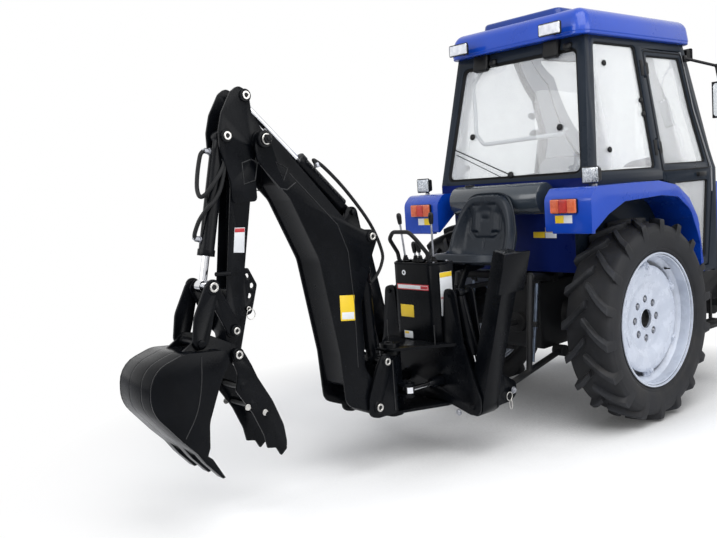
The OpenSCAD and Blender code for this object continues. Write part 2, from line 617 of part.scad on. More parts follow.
// ------------------------------------------------------- lamps and mirrors
module lamps() {
    color([0.9, 0.2, 0.1]) both_sides()
        box([-600, 450, 1218], [-575 - gap, 612, 1296]);
    color(chrome) both_sides() {
        // rear roof lamps
        box([-380, 262, 2186], [-341, 412, 2256]);
        box([-345, 320, 2196], [-300 - gap, 354, 2240]);
        // front roof lamps
        box([870, 330, 2085], [930, 480, 2165]);
        box([875, 395, 2160], [895, 415, roof_z + gap]);
        // lamps on the fenders
        translate([-430, 620, 1352 + gap]) cylinder(r = 12, h = 20);
        box([-470, 567, 1366], [-415, 673, 1456]);
    }
}
mirror_x = 915;          // ahead of the doors' sweep
mirror_half_w = 64;
module mirror_on_arm(y, low, high) {
    // foot on the post, arm and head
    bend = [mirror_x, y - 40, max(2030, high + 30)];
    lean(1) translate([0, cab_t / 2 + 5, 0]) box([800, 0, 675], [836, 12, 715]);
    bar([818, 486, 2094], bend, 9);
    translate(bend) sphere(r = 12, $fn = 24);
    bar(bend, [mirror_x, y - 20, high - 15], 9);
    box([mirror_x - 16, y - mirror_half_w, low], [mirror_x + 16, y + mirror_half_w, high]);
}
module mirrors() {
    color(black) {
        mirror_on_arm(676, 1812, 2050);
        mirror([0, 1, 0]) mirror_on_arm(676, 1708, 1932);
    }
}

// ---------------------------------------------------------- hitch and tank
HITCH_PIN_X = -925;
HITCH_PIN_Z = 325;
hitch_half_w = 350;
module oil_tank() {
    color(black) difference() {
        translate([-458, -325, 1300]) rotate([-90, 0, 0]) cylinder(r = 88, h = 650);
        box([cab_back_x - gap, -330, 1100], [0, 330, 1500]);
    }
}
TOP_LINK = [-880, 830];
module hitch_links() {
    color(cast_black) both_sides() difference() {
        union() {
            // lower link, lift arm and lift rod
            bar([-200, 190, 380], [HITCH_PIN_X, hitch_half_w, HITCH_PIN_Z], 18);
            y_bar([-200, 380], 34, casting_half_w, 225);
            y_bar([HITCH_PIN_X, HITCH_PIN_Z], 42, hitch_half_w - 22, hitch_half_w + 22);
            bar([-250, 180, 826], [-560, 270, 870], 24);
            y_bar([-250, 826], 25, -1, 215);
            bar([-560, 270, 880], [-640, 295, 350], 17);
        }
        y_bar([HITCH_PIN_X, HITCH_PIN_Z], 14 + gap, hitch_half_w - 80, hitch_half_w + 80);
    }
    color(cast_black) difference() {
        union() {
            // rockshaft housing on the gearbox, and the top link behind it
            box([-330, -casting_half_w + 10, gearbox_top + gap], [-170, casting_half_w - 10, 850]);
            bar([-320, 0, 826], [TOP_LINK[0] + 10, 0, TOP_LINK[1]], 14);
            y_bar(TOP_LINK, 24, -17, 17);
        }
        y_bar(TOP_LINK, 12 + gap, -40, 40);
    }
}

// ----------------------------------------------------------- backhoe frame
frame_t = 14;
leg_gap = 62;      // half the width of the slot that a leg swings in
frame_back = LEG_X - leg_gap - frame_t;
frame_front = LEG_X + leg_gap;
frame_face = frame_front + frame_t;
deck_z = 586;      // underside of the top deck
module backhoe_frame() {
    frame_edge = rounded([[-300, 600, 10], [300, 600, 10], [400, 330, 60], [392, 240, 40], [330, 236, 40], [150, 285, 200],
        [-150, 285, 200], [-330, 236, 40], [-392, 240, 40], [-400, 330, 60]]);
    color(black) difference() {
        union() {
            for (x = [frame_back, frame_front]) cross_plate(frame_edge, x, frame_t);
            // top deck, narrowing to the swing post
            translate([0, 0, deck_z]) linear_extrude(frame_t) polygon(rounded([
                [frame_face, -255, 0], [frame_face, 255, 0], [LEG_X - 80, 255, 20],
                [SWING_X + 20, 100, 20], [SWING_X - 60, 75, 50], [SWING_X - 60, -75, 50], [SWING_X + 20, -100, 20],
                [LEG_X - 80, -255, 20]]));
            // lower deck
            translate([0, 0, 262]) linear_extrude(frame_t) polygon(rounded([
                [frame_face, -180, 0], [frame_face, 180, 0], [LEG_X - 80, 180, 20],
                [SWING_X - 55, 70, 50], [SWING_X - 55, -70, 50], [LEG_X - 80, -180, 20]]));
            // inner webs beside the legs
            both_sides() box([LEG_X - leg_gap, 240, 262], [LEG_X + leg_gap, 240 + frame_t, 600]);
            // towers that carry the stabilizer cylinders and the seat
            both_sides() for (x = [frame_back, frame_front])
                cross_plate(rounded([[172, 590, 0], [172, 700, 40], [190, 890, 30], [262, 870, 30], [300, 590, 0]]),
                    x, frame_t);
            cross_plate([[-180, 590], [180, 590], [180, 720], [-180, 720]], frame_front, frame_t);
            // hitch arms forward to the tractor's lower links
            both_sides() for (y = [hitch_half_w - 45, hitch_half_w + 30])
                side_plate(rounded([[frame_front, 262, 0], [frame_front, 480, 0], [HITCH_PIN_X - 60, 420, 40],
                    [HITCH_PIN_X + 45, 360, 40], [HITCH_PIN_X + 45, 285, 40], [HITCH_PIN_X - 20, 265, 30]]), y, 15);
            // top-link arm
            for (y = [-32, 20])
                side_plate(rounded([[frame_front, 600, 0], [frame_front, 640, 0], [-905, 860, 30], [-855, 850, 30],
                    [-860, 800, 30]]), y, 12);
            // seats of the swing cylinders
            both_sides() for (z = [SWING_Z - SWING_BARREL_R - 1 - frame_t, SWING_Z + SWING_BARREL_R + 1])
                box([frame_front, SWING_EAR - 30, z], [SWING_BASE_X + 30, SWING_EAR + 30, z + frame_t]);
            both_sides() translate([SWING_BASE_X, SWING_EAR, SWING_Z - 50]) cylinder(r = 12, h = 100);
            // pins
            both_sides() {
                x_bar(LEG_PIN, 16, frame_back - 16, frame_face + 12);
                x_bar(LEG_TOP, 13, frame_back - 12, frame_face + 12);
                y_bar([HITCH_PIN_X, HITCH_PIN_Z], 14, hitch_half_w - 60, hitch_half_w + 60);
            }
            y_bar(TOP_LINK, 12, -40, 40);
            // swing post bosses
            translate([SWING_X, 0, deck_z]) cylinder(r = 52, h = 34);
            translate([SWING_X, 0, 242]) cylinder(r = 52, h = 34);
        }
        // the swing cylinders pass through both plates
        both_sides() for (x = [frame_back, frame_front])
            x_bar([SWING_EAR, SWING_Z], SWING_BARREL_R + run_gap, x - 5, x + frame_t + 5);
    }
    color(chrome) translate([SWING_X, 0, 232]) cylinder(r = 25, h = 396);
}
module console() {
    h = console_w / 2;
    color(black) translate([0, 0, deck_z + frame_t + gap]) difference() {
        linear_extrude(console_h) polygon(rounded([
            [-1208, -h, 55], [-1208, h, 55], [-1060, h, 8], [-1060, -h, 8]]));
    }
}
console_h = 415;
console_top = deck_z + frame_t + gap + console_h;
// lever table: [distance to the left, height over the console]
LEVERS = [[121, 215], [34, 60], [0, 60], [-112, 215]];
module console_controls() {
    color(black) {
        // grab loop
        h = console_w / 2 - 25;
        foot = [-1186, h, console_top + 14];
        bend = [-1262, h - 12, console_top + 130];
        top = [-1272, h - 45, console_top + 168];
        both_sides() {
            translate([foot[0], foot[1], console_top]) cylinder(r = 20, h = 7);
            translate([foot[0], foot[1], console_top]) cylinder(r = 11, h = 14);
            bar(foot, bend, 11);
            bar(bend, top, 11);
            for (p = [foot, bend, top]) translate(p) sphere(r = 14, $fn = 24);
        }
        bar(top, [top[0], -top[1], top[2]], 11);
        for (l = LEVERS) {
            bar([-1140, l[0], console_top], [-1140, l[0], console_top + l[1]], 6);
            translate([-1140, l[0], console_top + l[1] - 5]) cylinder(r = 15, h = 50);
        }
    }
}
module operator_seat() {
    color(vinyl) {
        side_plate(rounded([[-905, 960, 30], [-905, 1015, 30], [-700, 988, 110], [-640, 1060, 80],
            [-592, 1352, 22], [-545, 1350, 22], [-570, 1130, 120], [-640, 960, 60]]), -235, 470);
    }
    color(black) {
        // seat post from the frame
        plate_pair(rounded([[frame_face + gap, 610, 0], [frame_face + gap, 700, 0],
            [-850, 966, 0], [-650, 966, 0], [-700, 930, 20], [-830, 920, 40]]), 48, 14);
    }
}

// ------------------------------------------------------------------- arm
cheek_in = boom_half_w + 4;
module swing_frame() {
    color(black) difference() {
        union() {
            // cheeks either side of the boom's foot
            plate_pair(rounded([[-1655, 300, 40], [-1600, 285, 50], [-1475, 285, 20], [-1475, 570, 20], [-1545, 612, 40],
                [-1590, 540, 60], [-1655, 390, 50]]), cheek_in, 14);
            // post barrel between the frame's decks, tied to the cheeks
            translate([SWING_X, 0, 276 + gap]) cylinder(r = 55, h = deck_z - 276 - 2 * gap);
            translate([0, 0, 290]) linear_extrude(270) polygon([[SWING_X + 10, -54], [SWING_X + 10, 54],
                [-1475, cheek_in + 14], [-1490, cheek_in + 14], [-1490, -cheek_in - 14], [-1475, -cheek_in - 14]]);
            // ears for the swing cylinders' rods
            for (z = [SWING_Z - 34.5, SWING_Z + 20.5]) translate([0, 0, z]) linear_extrude(14) polygon(rounded([
                [SWING_X - 40, -SWING_EAR - 28, 28], [SWING_X + 28, -SWING_EAR - 28, 28], [SWING_X + 28, SWING_EAR + 28, 28],
                [SWING_X - 40, SWING_EAR + 28, 28]]));
            for (side = [-1, 1]) {
                translate([SWING_X, side * SWING_EAR, SWING_Z - 43]) cylinder(r = 12, h = 43 - swing_eye_h / 2 - gap);
                translate([SWING_X, side * SWING_EAR, SWING_Z + swing_eye_h / 2 + gap]) cylinder(r = 12, h = 43 - swing_eye_h / 2 - gap);
            }
            y_bar(BOOM_PIN, pin_r, -cheek_in - 24, cheek_in + 24);
            y_bar(BOOM_BASE, 15, -cheek_in - 24, cheek_in + 24);
        }
        // the pin's bore
        translate([SWING_X, 0, 200]) cylinder(r = 25 + gap, h = 450);
    }
}
SWING_BARREL_R = 28;
module swing_barrels() {
    color(black) both_sides() difference() {
        union() {
            x_bar([SWING_EAR, SWING_Z], SWING_BARREL_R, SWING_MOUTH_X, SWING_BASE_X - 15);
            translate([SWING_BASE_X, SWING_EAR, SWING_Z - SWING_BARREL_R - 0.5])
                cylinder(r = 26, h = 2 * SWING_BARREL_R + 1);
        }
        x_bar([SWING_EAR, SWING_Z], swing_rod_r + gap, SWING_MOUTH_X - 5, SWING_BASE_X - 28);
        translate([SWING_BASE_X, SWING_EAR, 300]) cylinder(r = 12 + gap, h = 200);
    }
}
module swing_rod() {
    // the eye holds its own length of the pin
    color(chrome) {
        x_bar([SWING_EAR, SWING_Z], swing_rod_r, SWING_X + 10, SWING_MOUTH_X + 146);
        translate([SWING_X, SWING_EAR, SWING_Z - swing_eye_h / 2]) cylinder(r = 26, h = swing_eye_h);
    }
}
BOOM_EDGE = rounded([
    [-2192, 1640, 40], [-2170, 1712, 45], [-2105, 1700, 40], [-1706, 1272, 60], [-1600, 1225, 30], [-1550, 1222, 35],
    [-1518, 1175, 40], [-1556, 1105, 40], [-1648, 868, 150], [-1655, 544, 80], [-1552, 400, 40], [-1552, 290, 40],
    [-1782, 384, 60], [-1800, 640, 100], [-1884, 1107, 150], [-2024, 1402, 100], [-2140, 1525, 40], [-2185, 1580, 40]]);
elbow_face = boom_half_w - plate_t - 10;    // boom's bosses against the dipper's
module boom() {
    inner = boom_half_w - plate_t;
    color(black) difference() {
        union() {
            plate_pair(BOOM_EDGE, inner, plate_t);
            // box between the plates
            side_plate(rounded([[-2040, 1590, 10], [-1706, 1256, 60], [-1670, 1180, 40], [-1665, 868, 100], [-1670, 560, 60],
                [-1690, 470, 60], [-1770, 470, 30], [-1788, 640, 100], [-1872, 1107, 150], [-2010, 1395, 60], [-2060, 1470, 20]]),
                -inner - 1, 2 * inner + 2);
            both_sides() y_bar(DIPPER_PIN, 34, elbow_face, boom_half_w + 14);
            y_bar(DIPPER_PIN, pin_r, -boom_half_w - 22, boom_half_w + 22);
            both_sides() y_bar(BOOM_EYE, 15, eye_half + gap, boom_half_w + 14);
            y_bar(BOOM_PIN, 40, -boom_half_w, boom_half_w);
            // lugs for the dipper cylinder
            plate_pair(rounded([[-1700, 1245, 0], [-1655, 1340, 35], [-1598, 1340, 35], [-1570, 1200, 0]]), 30, 12);
            y_bar(DIPPER_BASE, 15, -60, 60);
        }
        y_bar(BOOM_PIN, pin_r + gap, -200, 200);
    }
}
// Distances from the base pin: the neck's end and the bottom of the bore.
neck_len = 56;
bore_from = 44;
// A cylinder's barrel, from its base pin towards the rod's eye, in side view.
module cylinder_barrel(base, eye, r, len) {
    d = unit(eye - base);
    a = [base[0], 0, base[1]];
    dir = [d[0], 0, d[1]];
    difference() {
        union() {
            bar(a, a + dir * (neck_len + 2), 25);
            bar(a + dir * neck_len, a + dir * len, r);
            bar(a + dir * (len - 28), a + dir * len, r + 4);
            y_bar(base, 28, -24, 24);
        }
        y_bar(base, 15 + gap, -100, 100);
        bar(a + dir * bore_from, a + dir * (len + 5), rod_r + gap);
    }
}
// Its rod, which reaches down to inner_end and carries an eye with its own length of the pin.
module cylinder_rod(base, eye, inner_end) {
    d = unit(eye - base);
    a = [base[0], 0, base[1]];
    dir = [d[0], 0, d[1]];
    bar(a + dir * inner_end, [eye[0], 0, eye[1]] - dir * 10, rod_r);
    y_bar(eye, 28, -eye_half, eye_half);
}
// Barrel length and the rod's inner end, each from the base pin.
boom_barrel_len = 470;
boom_rod_from = 60;
dipper_barrel_len = 385;
dipper_rod_from = 345;
bucket_barrel_len = 520;
bucket_rod_from = 250;
module boom_barrel() { color(black) cylinder_barrel(BOOM_BASE, BOOM_EYE, barrel_r, boom_barrel_len); }
module boom_rod() { color(chrome) cylinder_rod(BOOM_BASE, BOOM_EYE, boom_rod_from); }
module dipper_barrel() { color(black) cylinder_barrel(DIPPER_BASE, DIPPER_EYE, barrel_r, dipper_barrel_len); }
module dipper_rod() { color(chrome) cylinder_rod(DIPPER_BASE, DIPPER_EYE, dipper_rod_from); }
module bucket_barrel() { color(black) cylinder_barrel(BUCKET_BASE, LINK_EYE, barrel_r - 4, bucket_barrel_len); }
module bucket_rod() {
    color(chrome) {
        cylinder_rod(BUCKET_BASE, LINK_EYE, bucket_rod_from);
        y_bar(LINK_EYE, 15, -groove_half + 2, groove_half - 2);
    }
}

DIPPER_EDGE = rounded([
    [-2232, 1905, 30], [-2180, 1880, 40], [-2172, 1779, 40], [-2105, 1690, 40], [-2105, 1640, 40], [-2178, 1600, 60],
    [-2178, 1400, 20], [-2306, 1400, 20], [-2306, 1492, 60], [-2345, 1642, 60], [-2345, 1710, 60], [-2323, 1789, 60],
    [-2269, 1880, 40]]);
module dipper() {
    in = dipper_half_w - plate_t;
    color(black) difference() {
        union() {
            plate_pair(DIPPER_EDGE, in, plate_t);
            // stick below the head plates
            side_plate(rounded([[-2190, 1500, 10], [-2265, 1114, 40], [-2304, 923, 40], [-2330, 800, 30], [-2330, 760, 20],
                [-2384, 760, 20], [-2392, 850, 30], [-2352, 1124, 60], [-2300, 1500, 10]]), -in, 2 * in);
            y_bar(BUCKET_PIN, 30, -in - plate_t, in + plate_t);
            y_bar(GUIDE_PIN, 34, -dipper_half_w, dipper_half_w);
            y_bar(DIPPER_PIN, 42, -elbow_face + gap, elbow_face - gap);
            // pins
            both_sides() y_bar(DIPPER_EYE, 15, eye_half + gap, dipper_half_w + 12);
            y_bar(BUCKET_BASE, 15, -dipper_half_w - 12, dipper_half_w + 12);
            y_bar(GUIDE_PIN, pin_r, -dipper_half_w - 28, dipper_half_w + 28);
            // thumb rack down the front edge
            plate_pair(rounded([[-2280, 1110, 0], [-2240, 1110, 12], [-2200, 1030, 25], [-2222, 960, 20], [-2240, 905, 20],
                [-2310, 890, 0]]), 22, 10);
        }
        y_bar(DIPPER_PIN, pin_r + gap, -200, 200);
        y_bar(BUCKET_PIN, pin_r + gap, -200, 200);
        // slot in the foot, where the thumb's strut swings in
        side_plate([[-2352, 690], [-2290, 690], [-2290, 806], [-2326, 806], [-2352, 778]], -strut_half - 5, 2 * strut_half + 10);
        // groove in the rear face, where the bucket cylinder swings in
        side_plate([[-2420, 1030], [-2310, 1030], [-2306, 1120], [-2292, 1260], [-2262, 1560], [-2420, 1560]], -groove_half, 2 * groove_half);
        for (p = [[-2248, 1074], [-2227, 1029], [-2243, 985]]) y_bar(p, 12, -200, 200);
    }
    color(chrome) both_sides() y_bar(RACK_PIN, 11, strut_half + gap, 45);
}
// ------------------------------------------------------- bucket and thumb
BUCKET_EDGE = rounded([
    [-2455, 790, 30], [-2650, 808, 120], [-2800, 760, 130], [-2812, 600, 140], [-2690, 452, 60], [-2590, 345, 10],
    [-2568, 395, 40], [-2560, 500, 120], [-2500, 640, 80], [-2440, 745, 30]]);
ear_in = 64;
module bucket() {
    color(black) difference() {
        union() {
            plate_pair(BUCKET_EDGE, bucket_half_w - 10, 10);
            difference() {
                side_plate(BUCKET_EDGE, -bucket_half_w + 5, 2 * bucket_half_w - 10);
                side_plate(rounded([[-2440, 776, 20], [-2650, 796, 110], [-2788, 750, 120], [-2800, 604, 130], [-2681, 459, 60],
                    [-2577, 352, 0], [-2480, 352, 0], [-2400, 700, 0]]), -bucket_half_w, 2 * bucket_half_w);
            }
            // ears up to the pins
            plate_pair(rounded([[-2440, 720, 0], [-2366, 712, 36], [-2330, 748, 36], [-2366, 790, 38], [-2480, 850, 60],
                [-2538, 862, 38], [-2575, 830, 38], [-2640, 790, 0], [-2560, 770, 0]]), ear_in, plate_t);
            y_bar(BUCKET_PIN, pin_r, -104, 104);
            y_bar(BUCKET_EYE, pin_r, -ear_in - plate_t, ear_in + plate_t);
            // teeth
            for (y = [-1, 0, 1])
                side_plate([[-2640, 402], [-2612, 392], [-2560, 345], [-2508, 252], [-2520, 250], [-2590, 330]],
                    y * (bucket_half_w - 26) - 24, 48);
        }
        // room in the shell's top for the links' ends
        both_sides() y_bar(BUCKET_EYE, 51, ear_in + plate_t + 0.2, 108);
    }
}
module guide_link() {
    color(black) difference() {
        plate_pair(rounded([[LINK_EYE[0] - 32, LINK_EYE[1] - 8, 30], [LINK_EYE[0] + 4, LINK_EYE[1] + 34, 32],
            [LINK_EYE[0] + 34, LINK_EYE[1] + 4, 30], [GUIDE_PIN[0] + 36, GUIDE_PIN[1] + 4, 34],
            [GUIDE_PIN[0] - 2, GUIDE_PIN[1] - 36, 34], [GUIDE_PIN[0] - 40, GUIDE_PIN[1] + 2, 34]]),
            dipper_half_w + 3, 13);
        y_bar(GUIDE_PIN, pin_r + gap, -200, 200);
        y_bar(LINK_EYE, 15 + gap, -200, 200);
    }
}
module bucket_link() {
    color(black) difference() {
        union() {
            plate_pair(rounded([[LINK_EYE[0] - 36, LINK_EYE[1] + 6, 32], [LINK_EYE[0] + 2, LINK_EYE[1] + 36, 34],
                [LINK_EYE[0] + 36, LINK_EYE[1] - 4, 32], [-2452, 980, 80], [-2480, 880, 60],
                [BUCKET_EYE[0] + 36, BUCKET_EYE[1] - 4, 32], [BUCKET_EYE[0], BUCKET_EYE[1] - 36, 34],
                [BUCKET_EYE[0] - 36, BUCKET_EYE[1] + 4, 32], [-2556, 940, 100], [-2520, 1010, 60]]),
                dipper_half_w + 20, 13);
            both_sides() y_bar(LINK_EYE, 15, dipper_half_w - plate_t + 1, dipper_half_w + 40);
            // pin ends seated against the bucket's ears
            both_sides() y_bar(BUCKET_EYE, pin_r, ear_in + plate_t + 1, 104);
        }
    }
}
THUMB_EDGE = rounded([
    [-2402, 760, 34], [-2360, 786, 36], [-2330, 748, 34], [-2300, 690, 20], [-2275, 630, 20], [-2205, 508, 200],
    [-2156, 386, 150], [-2146, 310, 40], [-2150, 272, 8], [-2182, 248, 4], [-2205, 290, 20], [-2250, 300, 4],
    [-2262, 360, 60], [-2310, 470, 200], [-2388, 590, 20], [-2372, 660, 40]], 4);
module thumb() {
    color(black) difference() {
        union() {
            plate_pair(THUMB_EDGE, ear_in + plate_t + 4, 12);
            y_bar([-2350, 600], 16, -96, 96);
            y_bar([-2310, 510], 16, -96, 96);
            y_bar([-2236, 450], 16, -96, 96);
            y_bar(STRUT_PIN, 11, -92, 92);
        }
        y_bar(BUCKET_PIN, pin_r + gap, -200, 200);
    }
}
module thumb_strut() {
    color(black) difference() {
        side_plate(rounded([[STRUT_PIN[0] - 16, STRUT_PIN[1] - 4, 14], [STRUT_PIN[0] + 4, STRUT_PIN[1] - 17, 14],
            [STRUT_PIN[0] + 17, STRUT_PIN[1] + 4, 14], [RACK_PIN[0] + 17, RACK_PIN[1] + 4, 14],
            [RACK_PIN[0] - 4, RACK_PIN[1] + 17, 14], [RACK_PIN[0] - 17, RACK_PIN[1] - 4, 14]]), -strut_half, 2 * strut_half);
        y_bar(STRUT_PIN, 11 + gap, -100, 100);
    }
}

// ------------------------------------------------------------ stabilizers
module stabilizer() {
    // drawn on the left; the leg is a channel whose mouth faces the frame
    hw = leg_gap - run_gap;
    lug = LEG_LUG - LEG_PIN;
    color(black) translate([LEG_X, LEG_PIN[0], LEG_PIN[1]]) rotate([-LEG_LEAN, 0, 0]) {
        difference() {
            union() {
                box([-hw, -46, 0], [hw, 46, leg_len]);
                translate([-hw, 0, 0]) rotate([0, 90, 0]) cylinder(r = 50, h = 2 * hw);
                // ears round the cylinder's lower pin
                translate([-hw, lug[0] * cos(LEG_LEAN) - lug[1] * sin(LEG_LEAN), lug[0] * sin(LEG_LEAN) + lug[1] * cos(LEG_LEAN)])
                    rotate([0, 90, 0]) cylinder(r = 30, h = 2 * hw);
            }
            // channel mouth for the cylinder
            box([-hw + 10, -80, -60], [hw - 10, 34, 300]);
            translate([-80, 0, 0]) rotate([0, 90, 0]) cylinder(r = 16 + gap, h = 200);
        }
        // foot pad on the leg's outer side
        box([-95, 46 + gap - 2, leg_len - 190], [95, 60, leg_len + 12]);
        for (x = [-hw, hw - 12]) box([x, 20, leg_len - 120], [x + 12, 50, leg_len + 5]);
    }
    color(chrome) {
        x_bar(LEG_LUG, 13, LEG_X - hw, LEG_X - leg_eye_half - gap);
        x_bar(LEG_LUG, 13, LEG_X + leg_eye_half + gap, LEG_X + hw);
    }
}
module stabilizer_barrel() {
    d = unit(LEG_LUG - LEG_TOP);
    a = [LEG_X, LEG_TOP[0], LEG_TOP[1]];
    dir = [0, d[0], d[1]];
    color(black) difference() {
        union() {
            bar(a + dir * 20, a + dir * 330, 29);
            x_bar(LEG_TOP, 26, LEG_X - 22, LEG_X + 22);
        }
        x_bar(LEG_TOP, 13 + gap, LEG_X - 60, LEG_X + 60);
        bar(a + dir * 50, a + dir * 340, 13 + gap);
    }
}
module stabilizer_rod() {
    d = unit(LEG_LUG - LEG_TOP);
    a = [LEG_X, LEG_TOP[0], LEG_TOP[1]];
    b = [LEG_X, LEG_LUG[0], LEG_LUG[1]];
    dir = [0, d[0], d[1]];
    color(chrome) {
        bar(a + dir * 110, b - dir * 12, 13);
        x_bar(LEG_LUG, 24, LEG_X - leg_eye_half, LEG_X + leg_eye_half);
    }
}

module at_kingpin(side) {
    translate([wheelbase, side * kingpin_y, front_axle_z]) mirror([0, side > 0 ? 0 : 1, 0]) children();
}
module right() { mirror([0, 1, 0]) children(); }

place() engine_block();
place() transmission();
place() front_bolster();
place() front_axle();
place() at_kingpin(1) knuckle();  // left_knuckle
place() at_kingpin(-1) knuckle();  // right_knuckle
place() at_rear_wheel(1) rear_tyre();  // left_rear_tyre
place() at_rear_wheel(-1) rear_tyre();  // right_rear_tyre
place() at_rear_wheel(1) rear_rim();  // left_rear_rim
place() at_rear_wheel(-1) rear_rim();  // right_rear_rim
place() at_front_wheel(1) front_tyre();  // left_front_tyre
place() at_front_wheel(-1) front_tyre();  // right_front_tyre
place() at_front_wheel(1) front_rim();  // left_front_rim
place() at_front_wheel(-1) front_rim();  // right_front_rim
place() cab_frame();
place() cab_roof();
place() cab_glass();
place() door(1);  // left_door
place() door(-1);  // right_door
place() door_glass(1);  // left_door_glass
place() door_glass(-1);  // right_door_glass
place() rear_fenders();
place() hood();
place() grille();
place() dash();
place() driver_seat();
place() fuel_tank();
place() lamps();
place() mirrors();
place() oil_tank();
place() hitch_links();
place() backhoe_frame();
place() console();
place() console_controls();
place() operator_seat();
place() swing_frame();
place() swing_barrels();
place() swing_rod();  // left_swing_rod
place() right() swing_rod();  // right_swing_rod
place() boom();
place() boom_barrel();
place() boom_rod();
place() dipper();
place() dipper_barrel();
place() dipper_rod();
place() bucket();
place() bucket_barrel();
place() bucket_rod();
place() guide_link();
place() bucket_link();
place() thumb();
place() thumb_strut();
place() stabilizer();  // left_stabilizer
place() right() stabilizer();  // right_stabilizer
place() stabilizer_barrel();  // left_stabilizer_barrel
place() right() stabilizer_barrel();  // right_stabilizer_barrel
place() stabilizer_rod();  // left_stabilizer_rod
place() right() stabilizer_rod();  // right_stabilizer_rod
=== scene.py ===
"""A cab tractor with a three-point backhoe on its hitch. Metres, X forward, Y left, Z up, on the ground."""
import json
import math
import bmesh
import bpy
from mathutils import Matrix, Vector


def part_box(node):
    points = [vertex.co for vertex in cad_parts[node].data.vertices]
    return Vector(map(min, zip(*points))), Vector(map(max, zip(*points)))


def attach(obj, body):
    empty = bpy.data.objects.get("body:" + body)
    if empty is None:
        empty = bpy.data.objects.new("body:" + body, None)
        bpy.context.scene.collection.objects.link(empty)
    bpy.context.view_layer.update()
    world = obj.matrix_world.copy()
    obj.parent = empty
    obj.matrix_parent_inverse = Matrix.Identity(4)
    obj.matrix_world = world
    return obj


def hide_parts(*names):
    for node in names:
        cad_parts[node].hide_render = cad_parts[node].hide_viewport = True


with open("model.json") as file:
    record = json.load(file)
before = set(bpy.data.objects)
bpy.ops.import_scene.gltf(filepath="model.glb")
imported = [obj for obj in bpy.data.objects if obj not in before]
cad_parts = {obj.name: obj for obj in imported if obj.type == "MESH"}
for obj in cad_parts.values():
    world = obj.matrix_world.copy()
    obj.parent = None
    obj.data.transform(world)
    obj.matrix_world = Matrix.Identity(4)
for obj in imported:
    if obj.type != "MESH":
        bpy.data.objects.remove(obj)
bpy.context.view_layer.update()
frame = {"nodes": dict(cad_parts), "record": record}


# ---- Yard floor, light and camera.
# A plain pale floor under a white sky, two broad lamps and a narrow fill, and a camera that stands
# behind the machine on its right side.
def at(x, y, z):
    """A place in millimetres from the ground under the rear axle."""
    return Vector((axle_x + x / 1000, y / 1000, z / 1000))


tyre_low, tyre_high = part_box("left_rear_tyre")
axle_x = (tyre_low.x + tyre_high.x) / 2


def linked(name, data):
    """A new object with this data, in the scene."""
    made = bpy.data.objects.new(name, data)
    bpy.context.scene.collection.objects.link(made)
    return made


SENSOR_WIDE, VIEW_LONG, VIEW_WIDE = 36, 813.185, 717       # the last two: how far off the view is, to its width
EYE_BACK, EYE_SIDE, EYE_HIGH = 4.17828714, 3.10142928, 1.43170409       # from the rear axle, right, up
yaw, pitch, roll = math.radians(49.984687), math.radians(-5.737458), math.radians(-3.979218)
ahead = Vector((math.cos(yaw) * math.cos(pitch), math.sin(yaw) * math.cos(pitch), math.sin(pitch)))
across = ahead.cross(Vector((0, 0, 1))).normalized()
upward = across.cross(ahead)
side = across * math.cos(roll) + upward * math.sin(roll)
top = upward * math.cos(roll) - across * math.sin(roll)
lens = bpy.data.cameras.new("camera")
lens.sensor_fit = "HORIZONTAL"
lens.sensor_width = SENSOR_WIDE
lens.lens = SENSOR_WIDE * VIEW_LONG / VIEW_WIDE
lens.clip_end = 200
camera = linked("camera", lens)
camera.matrix_world = Matrix((
    (side.x, top.x, -ahead.x, axle_x - EYE_BACK),
    (side.y, top.y, -ahead.y, -EYE_SIDE),
    (side.z, top.z, -ahead.z, EYE_HIGH),
    (0, 0, 0, 1)))
bpy.context.scene.camera = camera
bpy.context.scene.view_settings.view_transform = "Standard"


def feed(tree, node, **inputs):
    """Sets a node's inputs to values, sockets or nodes. i0, i1 and so on name an input by its number."""
    for key, value in inputs.items():
        numbered = key[0] == "i" and key[1:].isdigit()
        socket = node.inputs[int(key[1:]) if numbered else key.replace("_", " ")]
        if isinstance(value, bpy.types.Node):
            value = value.outputs[0]
        if isinstance(value, bpy.types.NodeSocket):
            tree.links.new(value, socket)
        else:
            socket.default_value = value


def place(tree, kind, settings=None, **inputs):
    """Adds a node with its settings and inputs."""
    made = tree.nodes.new(kind)
    for key, value in (settings or {}).items():
        setattr(made, key, value)
    feed(tree, made, **inputs)
    return made


def maths(tree, operation, *values):
    return place(tree, "ShaderNodeMath", {"operation": operation},
                 **{"i%d" % k: value for k, value in enumerate(values)})


def ramp(tree, value, low, high, to_low, to_high):
    """Carries a value from one range to another, held at both ends."""
    return place(tree, "ShaderNodeMapRange", Value=value, From_Min=low, From_Max=high, To_Min=to_low, To_Max=to_high)


def bare_material(name):
    """A new material with an empty node tree."""
    made = bpy.data.materials.new(name)
    made.use_nodes = True
    made.node_tree.nodes.clear()
    return made, made.node_tree


def lamp_panel(name, spot, aim, width, height, power):
    data = bpy.data.lights.new(name, "AREA")
    data.shape = "RECTANGLE"
    data.size, data.size_y, data.energy = width, height, power
    panel = linked(name, data)
    panel.location = spot
    panel.rotation_euler = (aim - spot).to_track_quat("-Z", "Y").to_euler()


lamp_panel("lamp_over", at(-1800, -2600, 4800), at(-700, 0, 700), 4.5, 4.0, 185)
lamp_panel("lamp_rear", at(-6200, 600, 3000), at(-1000, 0, 900), 3.5, 3.0, 125)
lamp_panel("lamp_right", at(900, -5600, 2600), at(200, 0, 900), 4.0, 3.0, 100)

